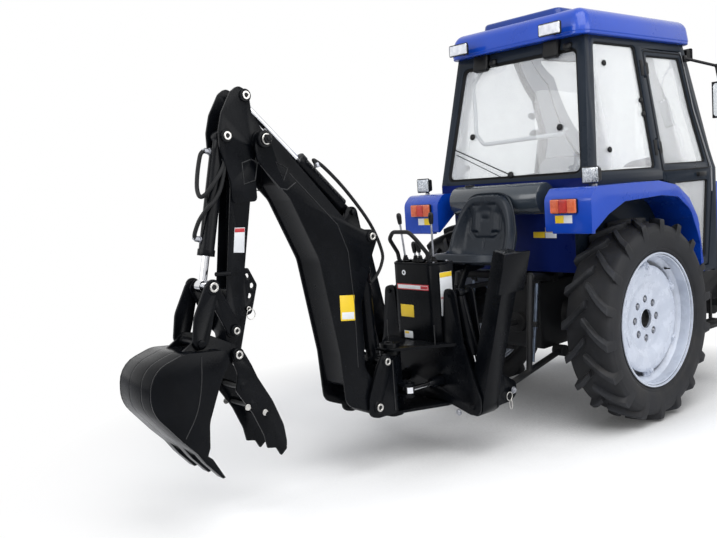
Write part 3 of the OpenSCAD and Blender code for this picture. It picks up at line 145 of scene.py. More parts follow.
sky = bpy.data.worlds.new("white_sky")
sky.use_nodes = True
bpy.context.scene.world = sky
tree = sky.node_tree
tree.nodes.clear()
path = place(tree, "ShaderNodeLightPath")
seen = maths(tree, "MAXIMUM", path.outputs["Is Camera Ray"], path.outputs["Is Transmission Ray"])
seen = maths(tree, "MAXIMUM", seen, path.outputs["Is Glossy Ray"])
dim = place(tree, "ShaderNodeBackground", Color=(0.82, 0.84, 0.88, 1), Strength=0.46)
bright = place(tree, "ShaderNodeBackground", Color=(1, 1, 1, 1), Strength=1.0)
pick = place(tree, "ShaderNodeMixShader", Fac=seen, i1=dim, i2=bright)
place(tree, "ShaderNodeOutputWorld", Surface=pick)

yard = bpy.data.meshes.new("yard_floor")
yard.from_pydata([(-60, -60, 0), (60, -60, 0), (60, 60, 0), (-60, 60, 0)], [], [(0, 1, 2, 3)])
floor = linked("yard_floor", yard)
floor_white, tree = bare_material("floor_white")
path = place(tree, "ShaderNodeLightPath")
spot = place(tree, "ShaderNodeTexCoord")
# painted shade: close by, ambient occlusion darkens the floor's colour into a contact shadow; clean white further out
away = place(tree, "ShaderNodeVectorMath", {"operation": "DISTANCE"}, i0=spot.outputs["Object"],
             i1=tuple(at(-700, -200, 0)))
fade = ramp(tree, away.outputs["Value"], 1.7, 2.7, 0.0, 1.0)
matte = place(tree, "ShaderNodeBsdfDiffuse", Color=(0.90, 0.90, 0.91, 1))
# painted shade: the floor's colour is darkened by ambient occlusion near the machine
close_by = place(tree, "ShaderNodeAmbientOcclusion", {"samples": 8}, Distance=0.75)
shade = ramp(tree, close_by.outputs["AO"], 0.10, 0.80, 0.10, 1.0)
tint = place(tree, "ShaderNodeCombineColor", i0=shade, i1=shade, i2=shade)
painted_shade_matte = place(tree, "ShaderNodeBsdfDiffuse", Color=tint)
glow = place(tree, "ShaderNodeEmission", Color=(1, 1, 1, 1), Strength=1.0)
half_lit = place(tree, "ShaderNodeMixShader", Fac=0.06, i1=painted_shade_matte, i2=glow)
mixed = place(tree, "ShaderNodeMixShader", Fac=fade, i1=half_lit, i2=glow)
shown = maths(tree, "MAXIMUM", path.outputs["Is Camera Ray"], path.outputs["Is Transmission Ray"])
kept = place(tree, "ShaderNodeMixShader", Fac=shown, i1=matte, i2=mixed)
place(tree, "ShaderNodeOutputMaterial", Surface=kept)
yard.materials.append(floor_white)


# ---- Castings: engine, gearbox, front bolster and axle, knuckles and hitch links.
# Sand-cast iron and steel sprayed black over a rough skin. Edges stay rounded from the mould, and dust
# from the road lies on what faces up.
def group(name, inputs, outputs):
    made = bpy.data.node_groups.new(name, "ShaderNodeTree")
    for label, kind, default in inputs:
        socket = made.interface.new_socket(label, in_out="INPUT", socket_type=kind)
        socket.default_value = default
    for label, kind in outputs:
        made.interface.new_socket(label, in_out="OUTPUT", socket_type=kind)
    return made, made.nodes.new("NodeGroupInput"), made.nodes.new("NodeGroupOutput")


FLOAT, VECTOR, WHOLE = "NodeSocketFloat", "NodeSocketVector", "NodeSocketInt"

# rounded edges: a softened normal, and a mask that is white along the rubbed outer edges
rounding, given, out = group("rounded_edges", [("Radius", FLOAT, 0.002), ("Rub", FLOAT, 0.3)],
                             [("Normal", VECTOR), ("Rubbed", FLOAT)])
soft = place(rounding, "ShaderNodeBevel", {"samples": 4}, Radius=given.outputs["Radius"])
flat = place(rounding, "ShaderNodeNewGeometry")
agree = place(rounding, "ShaderNodeVectorMath", {"operation": "DOT_PRODUCT"}, i0=soft, i1=flat.outputs["Normal"])
edge = ramp(rounding, agree.outputs["Value"], 0.97, 0.80, 0.0, 1.0)
spot = place(rounding, "ShaderNodeTexCoord")
patchy = place(rounding, "ShaderNodeTexNoise", Vector=spot.outputs["Object"], Scale=17.0, Detail=5.0, Roughness=0.7)
worn_here = ramp(rounding, patchy.outputs["Fac"], 0.48, 0.66, 0.0, 1.0)
rubbed = maths(rounding, "MULTIPLY", edge, worn_here)
rubbed = maths(rounding, "MULTIPLY", rubbed, given.outputs["Rub"])
feed(rounding, out, Normal=soft, Rubbed=rubbed)

# dust: a mask, strongest on upward faces and low down near the road
dusting, given, out = group("road_dust", [("Amount", FLOAT, 0.3)], [("Mask", FLOAT)])
spot = place(dusting, "ShaderNodeTexCoord")
flat = place(dusting, "ShaderNodeNewGeometry")
face = place(dusting, "ShaderNodeSeparateXYZ", Vector=flat.outputs["Normal"])
height = place(dusting, "ShaderNodeSeparateXYZ", Vector=spot.outputs["Object"])
lying = ramp(dusting, face.outputs["Z"], -0.2, 1.0, 0.15, 1.0)
low = ramp(dusting, height.outputs["Z"], 1.0, 0.1, 0.25, 1.0)
clouds = place(dusting, "ShaderNodeTexNoise", Vector=spot.outputs["Object"], Scale=6.0, Detail=7.0, Roughness=0.65)
blots = ramp(dusting, clouds.outputs["Fac"], 0.42, 0.75, 0.0, 1.0)
mask = maths(dusting, "MULTIPLY", lying, low)
mask = maths(dusting, "MULTIPLY", mask, blots)
mask = maths(dusting, "MULTIPLY", mask, given.outputs["Amount"])
feed(dusting, out, Mask=mask)

# grain: height and tone of a sprayed, cast or moulded skin
grain, given, out = group("skin_grain", [("Scale", FLOAT, 400.0), ("Patch", FLOAT, 5.0)],
                          [("Height", FLOAT), ("Tone", FLOAT)])
spot = place(grain, "ShaderNodeTexCoord")
fine = place(grain, "ShaderNodeTexNoise", Vector=spot.outputs["Object"], Scale=given.outputs["Scale"], Detail=3.0)
broad = place(grain, "ShaderNodeTexNoise", Vector=spot.outputs["Object"], Scale=given.outputs["Patch"], Detail=5.0,
              Roughness=0.6)
feed(grain, out, Height=fine.outputs["Fac"], Tone=broad.outputs["Fac"])


def blend(tree, mask, under, over):
    """The socket of a colour mixed from two by a mask."""
    return place(tree, "ShaderNodeMix", {"data_type": "RGBA"}, i0=mask, i6=under, i7=over).outputs[2]


def finish(name, colour, deep, gloss, rough, grain_scale, bump, metal=0.0, coat=0.0, coat_rough=0.08, dust=0.25,
           under=(0.30, 0.31, 0.33, 1), rub=0.35, radius=0.0025, patch=5.0, dust_colour=(0.33, 0.30, 0.26, 1),
           spec=0.4):
    """A sprayed, cast or moulded surface: two tones in patches, rubbed edges, dust and a fine skin."""
    made, tree = bare_material(name)
    made.diffuse_color = colour
    skin = place(tree, "ShaderNodeGroup", {"node_tree": grain}, Scale=grain_scale, Patch=patch)
    edges = place(tree, "ShaderNodeGroup", {"node_tree": rounding}, Radius=radius, Rub=rub)
    dirt = place(tree, "ShaderNodeGroup", {"node_tree": dusting}, Amount=dust)
    tone = ramp(tree, skin.outputs["Tone"], 0.35, 0.65, 0.0, 1.0)
    base = blend(tree, tone, deep, colour)
    base = blend(tree, edges.outputs["Rubbed"], base, under)
    base = blend(tree, dirt.outputs["Mask"], base, dust_colour)
    shine = ramp(tree, skin.outputs["Tone"], 0.3, 0.7, gloss, rough)
    dull = place(tree, "ShaderNodeMath", {"operation": "MULTIPLY_ADD", "use_clamp": True}, i0=dirt.outputs["Mask"],
                 i1=0.5, i2=shine)
    relief = place(tree, "ShaderNodeBump", Strength=1.0, Distance=bump, Height=skin.outputs["Height"],
                   Normal=edges.outputs["Normal"])
    shader = place(tree, "ShaderNodeBsdfPrincipled", Base_Color=base, Roughness=dull, Metallic=metal, Normal=relief,
                   Coat_Roughness=coat_rough, Coat_Weight=coat, Specular_IOR_Level=spec)
    place(tree, "ShaderNodeOutputMaterial", Surface=shader)
    return made


def dress(material, *nodes):
    """Puts one finish on carried-over nodes."""
    for name in nodes:
        mesh = frame["nodes"][name].data
        for slot in range(len(mesh.materials)):
            mesh.materials[slot] = material


sprayed_casting = finish("sprayed_casting", (0.0090, 0.0097, 0.0112, 1), (0.0050, 0.0055, 0.0066, 1), 0.36, 0.58, 260,
                         0.0009, dust=0.14, rub=0.25, radius=0.005, spec=0.2)
dress(sprayed_casting, "engine_block", "transmission", "front_bolster", "front_axle", "left_knuckle", "right_knuckle",
      "hitch_links")


# ---- Tyres: ribbed farm tyres, bars of one moulded rubber with the casing.
# Each bar runs from the crown's middle back to the shoulder and down on to the sidewall, and the two
# rows are half a pitch apart. The bars' tops are rubbed paler, and road dust lies between them.
def tree_of(name, sizes):
    """An empty Geometry Nodes tree with named sizes; returns it, its input and its output."""
    made = bpy.data.node_groups.new(name, "GeometryNodeTree")
    made.interface.new_socket("Geometry", in_out="INPUT", socket_type="NodeSocketGeometry")
    for label, kind, default in sizes:
        made.interface.new_socket(label, in_out="INPUT", socket_type=kind).default_value = default
    made.interface.new_socket("Finish", in_out="INPUT", socket_type="NodeSocketMaterial")
    made.interface.new_socket("Geometry", in_out="OUTPUT", socket_type="NodeSocketGeometry")
    return made, made.nodes.new("NodeGroupInput"), made.nodes.new("NodeGroupOutput")


def evaluated(carrier, layers=False):
    """The plain mesh that an object's modifiers make."""
    now = bpy.context.evaluated_depsgraph_get()
    return bpy.data.meshes.new_from_object(carrier.evaluated_get(now), preserve_all_data_layers=layers, depsgraph=now)


def grown(mesh, tree, **sizes):
    """Runs a tree on a mesh and returns the plain mesh that comes out."""
    carrier = linked("carrier", mesh)
    modifier = carrier.modifiers.new("grow", "NODES")
    modifier.node_group = tree
    for item in tree.interface.items_tree:
        label = item.name.replace(" ", "_")
        if item.in_out == "INPUT" and label in sizes:
            modifier[item.identifier] = sizes[label]
    plain = evaluated(carrier, True)
    carrier.modifiers.remove(modifier)
    bpy.data.objects.remove(carrier)
    return plain


# copies of a part round a wheel's axle
ringing, given, out = tree_of("round_the_axle", [("Count", WHOLE, 8), ("Start", FLOAT, 0.0)])
slots = place(ringing, "GeometryNodeMeshLine", Count=given.outputs["Count"], Offset=(0, 0, 0))
number = place(ringing, "GeometryNodeInputIndex")
step = maths(ringing, "DIVIDE", math.tau, given.outputs["Count"])
angle = maths(ringing, "MULTIPLY_ADD", number, step, given.outputs["Start"])
turn = place(ringing, "ShaderNodeCombineXYZ", Y=angle)
copies = place(ringing, "GeometryNodeInstanceOnPoints", Points=slots, Instance=given.outputs["Geometry"],
               Rotation=turn)
real = place(ringing, "GeometryNodeRealizeInstances", i0=copies)
dressed = place(ringing, "GeometryNodeSetMaterial", Geometry=real, Material=given.outputs["Finish"])
feed(ringing, out, i0=dressed)


def smooth_line(points, steps):
    """A smooth line through the points (Catmull-Rom)."""
    ends = [points[0]] + list(points) + [points[-1]]
    line = []
    for i in range(1, len(ends) - 2):
        a, b, c, d = ends[i - 1], ends[i], ends[i + 1], ends[i + 2]
        for s in range(steps):
            t = s / steps
            line.append(tuple(0.5 * (2 * q + (r - p) * t + (2 * p - 5 * q + 4 * r - w) * t * t
                                     + (3 * q - p - 3 * r + w) * t ** 3) for p, q, r, w in zip(a, b, c, d)))
    line.append(tuple(points[-1]))
    return line


def softly(mesh, degrees):
    """Smooth shading, with the edges sharper than this left crisp."""
    work = bmesh.new()
    work.from_mesh(mesh)
    for face in work.faces:
        face.smooth = True
    for line in work.edges:
        line.smooth = len(line.link_faces) == 2 and line.calc_face_angle(0) < math.radians(degrees)
    work.to_mesh(mesh)
    work.free()


def mesh_from(work, name, sharp=0, outward=False):
    """Ends a bmesh: a mesh, with its faces turned outward and its sharp edges kept where asked."""
    if outward:
        bmesh.ops.recalc_face_normals(work, faces=work.faces)
    made = bpy.data.meshes.new(name)
    work.to_mesh(made)
    work.free()
    if sharp:
        softly(made, sharp)
    return made


def walled(work, rings, upward=False):
    """Joins rings of points, each to the next, and closes both ends."""
    for a, b in zip(rings, rings[1:]):
        for k in range(len(a)):
            j = (k + 1) % len(a)
            work.faces.new((a[k], a[j], b[j], b[k]) if upward else (a[k], b[k], b[j], a[j]))
    first, last = (rings[-1], rings[0]) if upward else (rings[0], rings[-1])
    work.faces.new(first)
    work.faces.new(list(reversed(last)))


def mirror(work):
    bmesh.ops.transform(work, matrix=Matrix.Diagonal((1, -1, 1, 1)), verts=work.verts)
    bmesh.ops.reverse_faces(work, faces=work.faces)


def turned(name, profile, sides, sharp=30):
    """Turns a closed profile of (radius, y) round the Y axis into a closed mesh."""
    work = bmesh.new()
    rings = []
    for radius, y in profile:
        if radius < 1e-6:
            rings.append([work.verts.new((0, y, 0))] * sides)
        else:
            rings.append([work.verts.new((radius * math.sin(math.tau * k / sides), y,
                                          radius * math.cos(math.tau * k / sides))) for k in range(sides)])
    for a, b in zip(rings, rings[1:] + rings[:1]):
        for k in range(sides):
            j = (k + 1) % sides
            corners = list(dict.fromkeys((a[k], b[k], b[j], a[j])))
            if len(corners) > 2:
                work.faces.new(corners)
    return mesh_from(work, name, sharp, outward=True)


def put(name, body, slot, meshes, material=None, shift=None, mirrored=False, replaced=()):
    """One finished piece from several meshes, at its place in the frame, riding on a body."""
    work = bmesh.new()
    materials = []
    for mesh in meshes:
        own = list(mesh.materials) or [material]
        before = len(work.faces)
        work.from_mesh(mesh)
        work.faces.ensure_lookup_table()
        for face in work.faces[before:]:
            kind = own[min(face.material_index, len(own) - 1)] or material
            if kind not in materials:
                materials.append(kind)
            face.material_index = materials.index(kind)
    if mirrored:
        mirror(work)
    if shift is not None:
        bmesh.ops.translate(work, vec=shift, verts=work.verts)
    made = mesh_from(work, name)
    for kind in materials:
        made.materials.append(kind)
    piece = linked(name, made)
    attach(piece, body)
    if replaced:
        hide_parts(*replaced)
    return piece


def marked(mesh, label, value_of):
    """A number on every point of a mesh, for its material."""
    layer = mesh.attributes.new(label, "FLOAT", "POINT")
    for i, point in enumerate(mesh.vertices):
        layer.data[i].value = value_of(point.co)


tyre_rubber, tree = bare_material("tyre_rubber")
spot = place(tree, "ShaderNodeTexCoord")
tread = place(tree, "ShaderNodeAttribute", {"attribute_name": "tread"})
fine = place(tree, "ShaderNodeTexNoise", Vector=spot.outputs["Object"], Scale=300.0, Detail=4.0)
smear = place(tree, "ShaderNodeTexNoise", Vector=spot.outputs["Object"], Scale=9.0, Detail=6.0, Roughness=0.62)
edges = place(tree, "ShaderNodeGroup", {"node_tree": rounding}, Radius=0.004, Rub=0.75)
dirt = place(tree, "ShaderNodeGroup", {"node_tree": dusting}, Amount=0.30)
worn = ramp(tree, smear.outputs["Fac"], 0.36, 0.68, 0.0, 1.0)
base = blend(tree, worn, (0.0070, 0.0076, 0.0094, 1), (0.0150, 0.0160, 0.0190, 1))
top_rub = maths(tree, "MULTIPLY", tread.outputs["Fac"], worn)
base = blend(tree, top_rub, base, (0.030, 0.032, 0.037, 1))
base = blend(tree, edges.outputs["Rubbed"], base, (0.075, 0.076, 0.080, 1))
base = blend(tree, dirt.outputs["Mask"], base, (0.13, 0.115, 0.095, 1))
shine = ramp(tree, smear.outputs["Fac"], 0.3, 0.7, 0.50, 0.72)
relief = place(tree, "ShaderNodeBump", Strength=0.8, Distance=0.0007, Height=fine.outputs["Fac"],
               Normal=edges.outputs["Normal"])
shader = place(tree, "ShaderNodeBsdfPrincipled", Base_Color=base, Roughness=shine, Normal=relief,
               Specular_IOR_Level=0.25)
place(tree, "ShaderNodeOutputMaterial", Surface=shader)


SEAT_DROP = 0.0143          # from the rim's edge down to the seat of the tyre's bead


def farm_tyre(radius, width, rim_radius, bars, bar_height, ribs):
    """A tyre round the Y axis at the origin: its casing and both rows of bars."""
    half = width / 2
    crown = radius - bar_height
    seat = rim_radius - SEAT_DROP
    deep = crown - seat
    wall = [(seat + 0.001, half * 0.80), (rim_radius + 0.004, half * 0.80), (rim_radius + 0.010, half * 0.835),
            (rim_radius + 0.013, half * 0.850), (rim_radius + 0.024, half * 0.872),
            (seat + deep * 0.30, half * 0.945), (seat + deep * 0.50, half * 0.992),
            (seat + deep * 0.68, half * 0.985), (crown - 0.034, half * 0.950), (crown - 0.014, half * 0.870),
            (crown - 0.005, half * 0.66), (crown - 0.001, half * 0.30), (crown, 0.0)]
    near = smooth_line(wall[2:], 5)
    lined = []
    for r, y in near:
        # fine moulded rings on the sidewall
        for ring_r in ribs:
            y += 0.0016 * math.exp(-((r - ring_r) / 0.0022) ** 2)
        lined.append((r, y))
    outer = wall[:2] + lined
    profile = outer + [(r, -y) for r, y in reversed(outer[:-1])]
    casing = turned("casing", profile, 168)
    marked(casing, "tread", lambda co: 0.0)

    # one bar, as sections from the crown's middle to the sidewall: y, sweep back, top radius, half widths, foot
    sweep = radius * 0.24
    stations = [
        (-0.045, 0.000, radius - 0.0005, 0.017, 0.024, crown - 0.006),
        (0.12, 0.165, radius - 0.0005, 0.017, 0.024, crown - 0.006),
        (0.32, 0.400, radius - 0.0015, 0.0175, 0.0245, crown - 0.007),
        (0.52, 0.620, radius - 0.0035, 0.018, 0.025, crown - 0.008),
        (0.72, 0.800, radius - 0.0065, 0.019, 0.027, crown - 0.013),
        (0.88, 0.920, radius - 0.0095, 0.020, 0.029, crown - 0.026),
        (0.965, 0.985, radius - 0.0125, 0.021, 0.031, crown - 0.045),
        (0.992, 1.010, radius - bar_height * 1.05, 0.019, 0.029, crown - 0.062),
        (0.996, 1.025, radius - bar_height * 2.0, 0.013, 0.022, crown - 0.078)]
    work = bmesh.new()
    rings = []
    scale = radius / 0.575
    for part, back, high, top_half, foot_half, low in stations:
        y = part * half
        ahead_x = sweep * (0.5 - back)
        low = crown - (crown - low) * scale
        slope = foot_half - top_half
        section = []
        for off, level in ((-foot_half, low), (-(top_half + slope * 0.25), high - bar_height * 0.18),
                           (-(top_half - 0.003), high), (top_half - 0.003, high),
                           (top_half + slope * 0.25, high - bar_height * 0.18), (foot_half, low)):
            turn_by = (ahead_x + off * scale) / radius
            section.append(work.verts.new((level * math.sin(turn_by), y, level * math.cos(turn_by))))
        rings.append(section)
    walled(work, rings)
    bmesh.ops.recalc_face_normals(work, faces=work.faces)
    bar = bpy.data.meshes.new("bar")
    work.to_mesh(bar)
    mirror(work)
    far_bar = mesh_from(work, "far_bar")
    rows = []
    for mesh, start in ((far_bar, 0.0), (bar, math.pi / bars)):
        softly(mesh, 28)
        marked(mesh, "tread", lambda co: 1.0 if math.hypot(co.x, co.z) > radius - bar_height * 0.5 else 0.0)
        rows.append(grown(mesh, ringing, Count=bars, Start=start, Finish=tyre_rubber))
    return [casing] + rows


for end, size in (("rear", (0.284, 0.381, 18, 0.030, (0.400, 0.409, 0.5))),
                  ("front", (0.200, 0.226, 16, 0.022, (0.240, 0.247)))):
    for hand in ("left", "right"):
        low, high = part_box("%s_%s_tyre" % (hand, end))
        middle = (low + high) / 2
        put("%s_%s_farm_tyre" % (hand, end), "%s_%s_wheel" % (hand, end), "tyre", farm_tyre(middle.z, *size),
            tyre_rubber, shift=middle, mirrored=hand == "right", replaced=("%s_%s_tyre" % (hand, end),))


# ---- Wheel rims: rolled steel rims with a pressed disc, enamelled off-white.
# The disc hangs in the rim on six clamps, each with a hex bolt, and eight nuts round the open centre
# hold it on the axle's flange. A few short ribs are stamped into the disc's face.
off_white_enamel = finish("off_white_enamel", (0.60, 0.645, 0.735, 1), (0.48, 0.525, 0.615, 1), 0.20, 0.34, 500,
                          0.00025, coat=0.4, dust=0.20, rub=0.5, under=(0.10, 0.11, 0.13, 1), radius=0.003, patch=9.0)
zinc_bolt = finish("zinc_bolt", (0.42, 0.43, 0.46, 1), (0.26, 0.27, 0.30, 1), 0.28, 0.50, 700, 0.0002, metal=1.0,
                   dust=0.3, rub=0.2, radius=0.0008, patch=60.0)


def hex_bolt(name, across_flats, thick):
    """A hex nut on its washer with the bolt's end standing through, facing +Z."""
    work = bmesh.new()
    washer, corner, shank = across_flats * 0.6875, across_flats / math.sqrt(3), across_flats * 0.35
    for sides, steps in ((24, ((washer, 0.0), (washer, 0.22))),
                         (6, ((corner, 0.2), (corner, 0.82), (corner * 0.86, 1.0))),
                         (16, ((shank * 0.72, 0.9), (shank * 0.72, 1.22), (shank * 0.6, 1.3)))):
        walled(work,
               [[work.verts.new((radius * math.cos(math.tau * k / sides), radius * math.sin(math.tau * k / sides),
                                 level * thick)) for k in range(sides)] for radius, level in steps], upward=True)
    return mesh_from(work, name, 35, outward=True)


def block(name, low, high, taper=0.0, bevel=0.0):
    """A small block with eased edges; taper draws its +Y face in."""
    work = bmesh.new()
    corners = []
    for y, draw in ((low[1], 0.0), (high[1], taper)):
        for x, z in ((low[0] + draw, low[2] + draw), (high[0] - draw, low[2] + draw),
                     (high[0] - draw, high[2] - draw), (low[0] + draw, high[2] - draw)):
            corners.append(work.verts.new((x, y, z)))
    for face in ((0, 1, 2, 3), (7, 6, 5, 4), (0, 4, 5, 1), (1, 5, 6, 2), (2, 6, 7, 3), (3, 7, 4, 0)):
        work.faces.new([corners[i] for i in face])
    if bevel:
        bmesh.ops.bevel(work, geom=work.edges[:], offset=bevel, segments=2, affect="EDGES", profile=0.5)
    return mesh_from(work, name, 40, outward=True)


def moved(mesh, matrix):
    mesh.transform(matrix)
    return mesh


def of_kind(mesh, material):
    mesh.materials.append(material)
    return mesh


def cut(mesh, *tools):
    """Takes the tools out of a closed mesh."""
    carrier = linked("carrier", mesh)
    helpers = [linked("tool", tool) for tool in tools]
    for helper in helpers:
        taking = carrier.modifiers.new("cut", "BOOLEAN")
        taking.operation, taking.solver, taking.object = "DIFFERENCE", "EXACT", helper
    plain = evaluated(carrier, True)
    for thing in [carrier] + helpers:
        bpy.data.objects.remove(thing)
    return plain


outwards = Matrix.Rotation(math.radians(-90), 4, "X")       # +Z to +Y


def scaled(size, level, rows):
    """A profile from shares of a size and rises over a level."""
    return [(size * share, level + rise) for share, rise in rows]


def wheel_rim(rim_radius, width, disc_y, hub_radius, hub_y, nuts, clamps):
    """A rim and its disc round the Y axis, outer side at +Y, with all bolts."""
    seat = rim_radius - SEAT_DROP
    half = width / 2
    edge_y = half * 0.8 + 0.0003
    skin, flange = 0.006, 0.009
    outside = [(rim_radius - 0.002, edge_y + flange), (rim_radius - 0.0005, edge_y + flange * 0.75),
               (rim_radius, edge_y + 0.004), (rim_radius - 0.003, edge_y), (seat, edge_y - 0.002),
               (seat, half * 0.36), (seat - 0.028, half * 0.22), (seat - 0.030, half * 0.16)]
    inside = [(r - skin if i > 2 else r - 0.008, y + (0.004 if i > 4 else 0)) for i, (r, y) in enumerate(outside)]
    inside[0] = (rim_radius - 0.010, edge_y + flange * 0.95)
    profile = outside + [(r, -y) for r, y in reversed(outside)] + [(r, -y) for r, y in inside] + \
        [(r, y) for r, y in reversed(inside)]
    barrel = turned("barrel", profile, 120, sharp=50)
    drop = seat - 0.037
    reach = rim_radius * 0.80
    pressing = scaled(rim_radius, disc_y,
                      ((0, 0.002), (0.42, 0.002), (0.47, 0.004), (0.55, 0.018), (0.60, 0.023), (0.74, 0.021)))
    pressing += [(reach - 0.006, disc_y + 0.018)]
    pressing += scaled(rim_radius, disc_y,
                       ((0.80, 0.012), (0.80, 0.005), (0.74, 0.010), (0.60, 0.012), (0.54, 0.006), (0.46, -0.008),
                        (0, -0.009)))
    disc = turned("disc", pressing, 96, sharp=50)
    bore = turned("bore", scaled(hub_radius, disc_y, ((0, -0.05), (0.62, -0.05), (0.62, 0.05), (0, 0.05))), 48)
    hole = turned("hole", scaled(hub_radius, disc_y, ((0, -0.05), (0.25, -0.05), (0.25, 0.05), (0, 0.05))), 20)
    bolt_ring = hub_radius * 1.28
    holes = grown(moved(hole, Matrix.Translation((0, 0, bolt_ring))), ringing, Count=nuts)
    disc = cut(disc, bore, holes)
    softly(disc, 40)
    collar = turned("collar",
                    scaled(hub_radius, disc_y,
                           ((0.62, -0.010), (0.62, 0.006), (0.66, 0.008), (0.70, 0.006), (0.72, -0.004))), 48)
    hub = of_kind(turned("hub",
                         [(0, hub_y), (hub_radius, hub_y)] + scaled(hub_radius, disc_y,
                             ((1, -0.026), (1.5, -0.024), (1.5, -0.0095), (0.6, -0.0095), (0.56, -0.03),
                              (0, -0.034))), 48), sprayed_casting)
    parts = [barrel, disc, collar, hub]
    nut = moved(hex_bolt("nut", hub_radius * 0.25, hub_radius * 0.14),
                Matrix.Translation((0, disc_y - 0.0095, bolt_ring)) @ outwards)
    parts.append(grown(nut, ringing, Count=nuts, Finish=zinc_bolt))
    # clamps welded in the barrel, each bolted to the disc's edge
    wide = rim_radius * 0.085
    lug = block("lug", (-wide, disc_y - 0.012, reach - rim_radius * 0.10), (wide, disc_y + 0.004, drop + 0.004),
                bevel=0.003)
    web = block("web", (-wide * 0.25, disc_y - 0.030, reach - rim_radius * 0.02),
                (wide * 0.25, disc_y - 0.010, drop + 0.004), bevel=0.002)
    ear = block("ear", (-wide * 0.8, disc_y + 0.002, reach - rim_radius * 0.09),
                (wide * 0.8, disc_y + 0.020, reach + rim_radius * 0.045), taper=0.004, bevel=0.004)
    bolt = moved(hex_bolt("bolt", rim_radius * 0.075, rim_radius * 0.036),
                 Matrix.Translation((0, disc_y + 0.019, reach - rim_radius * 0.02)) @ outwards)
    parts += [grown(mesh, ringing, Count=clamps, Finish=off_white_enamel) for mesh in (lug, web, ear, bolt)]
    # short ribs stamped outwards, unevenly spaced
    for turn_at, long, radius in ((0.0, 0.32, 0.66), (2.05, 0.16, 0.62), (4.30, 0.30, 0.64), (1.05, 0.10, 0.70),
                                  (5.2, 0.12, 0.68)):
        work = bmesh.new()
        lines = []
        for k in range(11):
            a = turn_at + long * (k / 10 - 0.5)
            end = 0.25 if k in (0, 10) else 1.0
            ring = []
            for off, rise in ((-0.006, -0.003), (-0.003, 0.003 * end), (0.003, 0.003 * end), (0.006, -0.003)):
                r = rim_radius * radius + off * end
                ring.append(work.verts.new((r * math.sin(a), disc_y + 0.0225 + rise, r * math.cos(a))))
            lines.append(ring)
        walled(work, lines)
        parts.append(mesh_from(work, "rib", 50, outward=True))
    # tyre valve through the barrel
    valve = turned("valve", [(0.0, 0.0), (0.006, 0.0), (0.006, 0.012), (0.004, 0.014), (0.004, 0.034), (0.0, 0.036)],
                   12)
    valve.transform(Matrix.Translation((rim_radius * 0.55, half * 0.30,
                                        seat * 0.72)) @ Matrix.Rotation(math.radians(38), 4, "Y"))
    return parts + [of_kind(valve, tyre_rubber)]


for end, sizes in (("rear", (0.381, 0.284, 0.034, 0.088, -0.1297, 8, 6)),
                   ("front", (0.226, 0.200, 0.020, 0.062, -0.0747, 6, 4))):
    for hand in ("left", "right"):
        low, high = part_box("%s_%s_tyre" % (hand, end))
        put("%s_%s_steel_rim" % (hand, end), "%s_%s_wheel" % (hand, end), "rim_paint", wheel_rim(*sizes),
            off_white_enamel, shift=(low + high) / 2, mirrored=hand == "right", replaced=("%s_%s_rim" % (hand, end),))


# ---- Backhoe steel: frame, swing post, boom, dipper, links, thumb, cylinders and stabilizers.
# Plate and tube welded up and sprayed gloss black, with the edges eased before painting. The paint is
# worn thin along those edges and dusty low down. Each pin ends in a bright ring on a black collar.
def eased(name, width, segments=2):
    """A node's solids as one clean mesh with every sharp edge rounded."""
    work = bmesh.new()
    work.from_mesh(frame["nodes"][name].data)
    bmesh.ops.remove_doubles(work, verts=work.verts, dist=0.00004)
    bmesh.ops.dissolve_degenerate(work, dist=0.00004, edges=work.edges)
    bmesh.ops.dissolve_limit(work, angle_limit=math.radians(1.2), verts=work.verts, edges=work.edges)
    for face in work.faces:
        face.material_index = 0
    carrier = linked("carrier", mesh_from(work, name + "_eased"))
    ease = carrier.modifiers.new("ease", "BEVEL")
    ease.width, ease.segments, ease.limit_method, ease.angle_limit = width, segments, "ANGLE", math.radians(34)
    plain = evaluated(carrier)
    bpy.data.objects.remove(carrier)
    softly(plain, 40)
    return plain


carried_by = {node: body for body, nodes in frame["record"]["behaviour"]["bodies"].items() for node in nodes}
slot_of = {row["node"]: row["material_slot"] for row in frame["record"]["subparts"]}


def made_good(node, name, material, width, more=(), segments=2):
    """The finished piece that stands for one node, with its fittings."""
    return put(name, carried_by[node], slot_of[node], [eased(node, width, segments)] + list(more), material,
               replaced=(node,))


# one part at many places: the places are points that carry the way they face and their size
studding, given, out = tree_of("set_at_places", [("Places", "NodeSocketObject", None)])
info = place(studding, "GeometryNodeObjectInfo", {"transform_space": "ORIGINAL"}, Object=given.outputs["Places"])
facing = place(studding, "GeometryNodeInputNamedAttribute", {"data_type": "FLOAT_VECTOR"}, Name="facing")
span = place(studding, "GeometryNodeInputNamedAttribute", {"data_type": "FLOAT"}, Name="span")
aim = place(studding, "FunctionNodeAlignRotationToVector", {"axis": "Z"}, Vector=facing.outputs["Attribute"])
copies = place(studding, "GeometryNodeInstanceOnPoints", Points=info.outputs["Geometry"],
               Instance=given.outputs["Geometry"], Rotation=aim, Scale=span.outputs["Attribute"])
real = place(studding, "GeometryNodeRealizeInstances", i0=copies)
dressed = place(studding, "GeometryNodeSetMaterial", Geometry=real, Material=given.outputs["Finish"])
feed(studding, out, i0=dressed)


def fitted(part, material, spots):
    """Copies of a part that faces +Z, at (place, facing, size) spots."""
    points = bpy.data.meshes.new("places")
    points.from_pydata([tuple(spot_[0]) for spot_ in spots], [], [])
    points.attributes.new("facing", "FLOAT_VECTOR", "POINT")
    points.attributes.new("span", "FLOAT", "POINT")
    for i, (_, way, size) in enumerate(spots):
        points.attributes["facing"].data[i].vector = way
        points.attributes["span"].data[i].value = size
    holder = linked("places", points)
    made = grown(part.copy(), studding, Places=holder, Finish=material)
    bpy.data.objects.remove(holder)
    return made


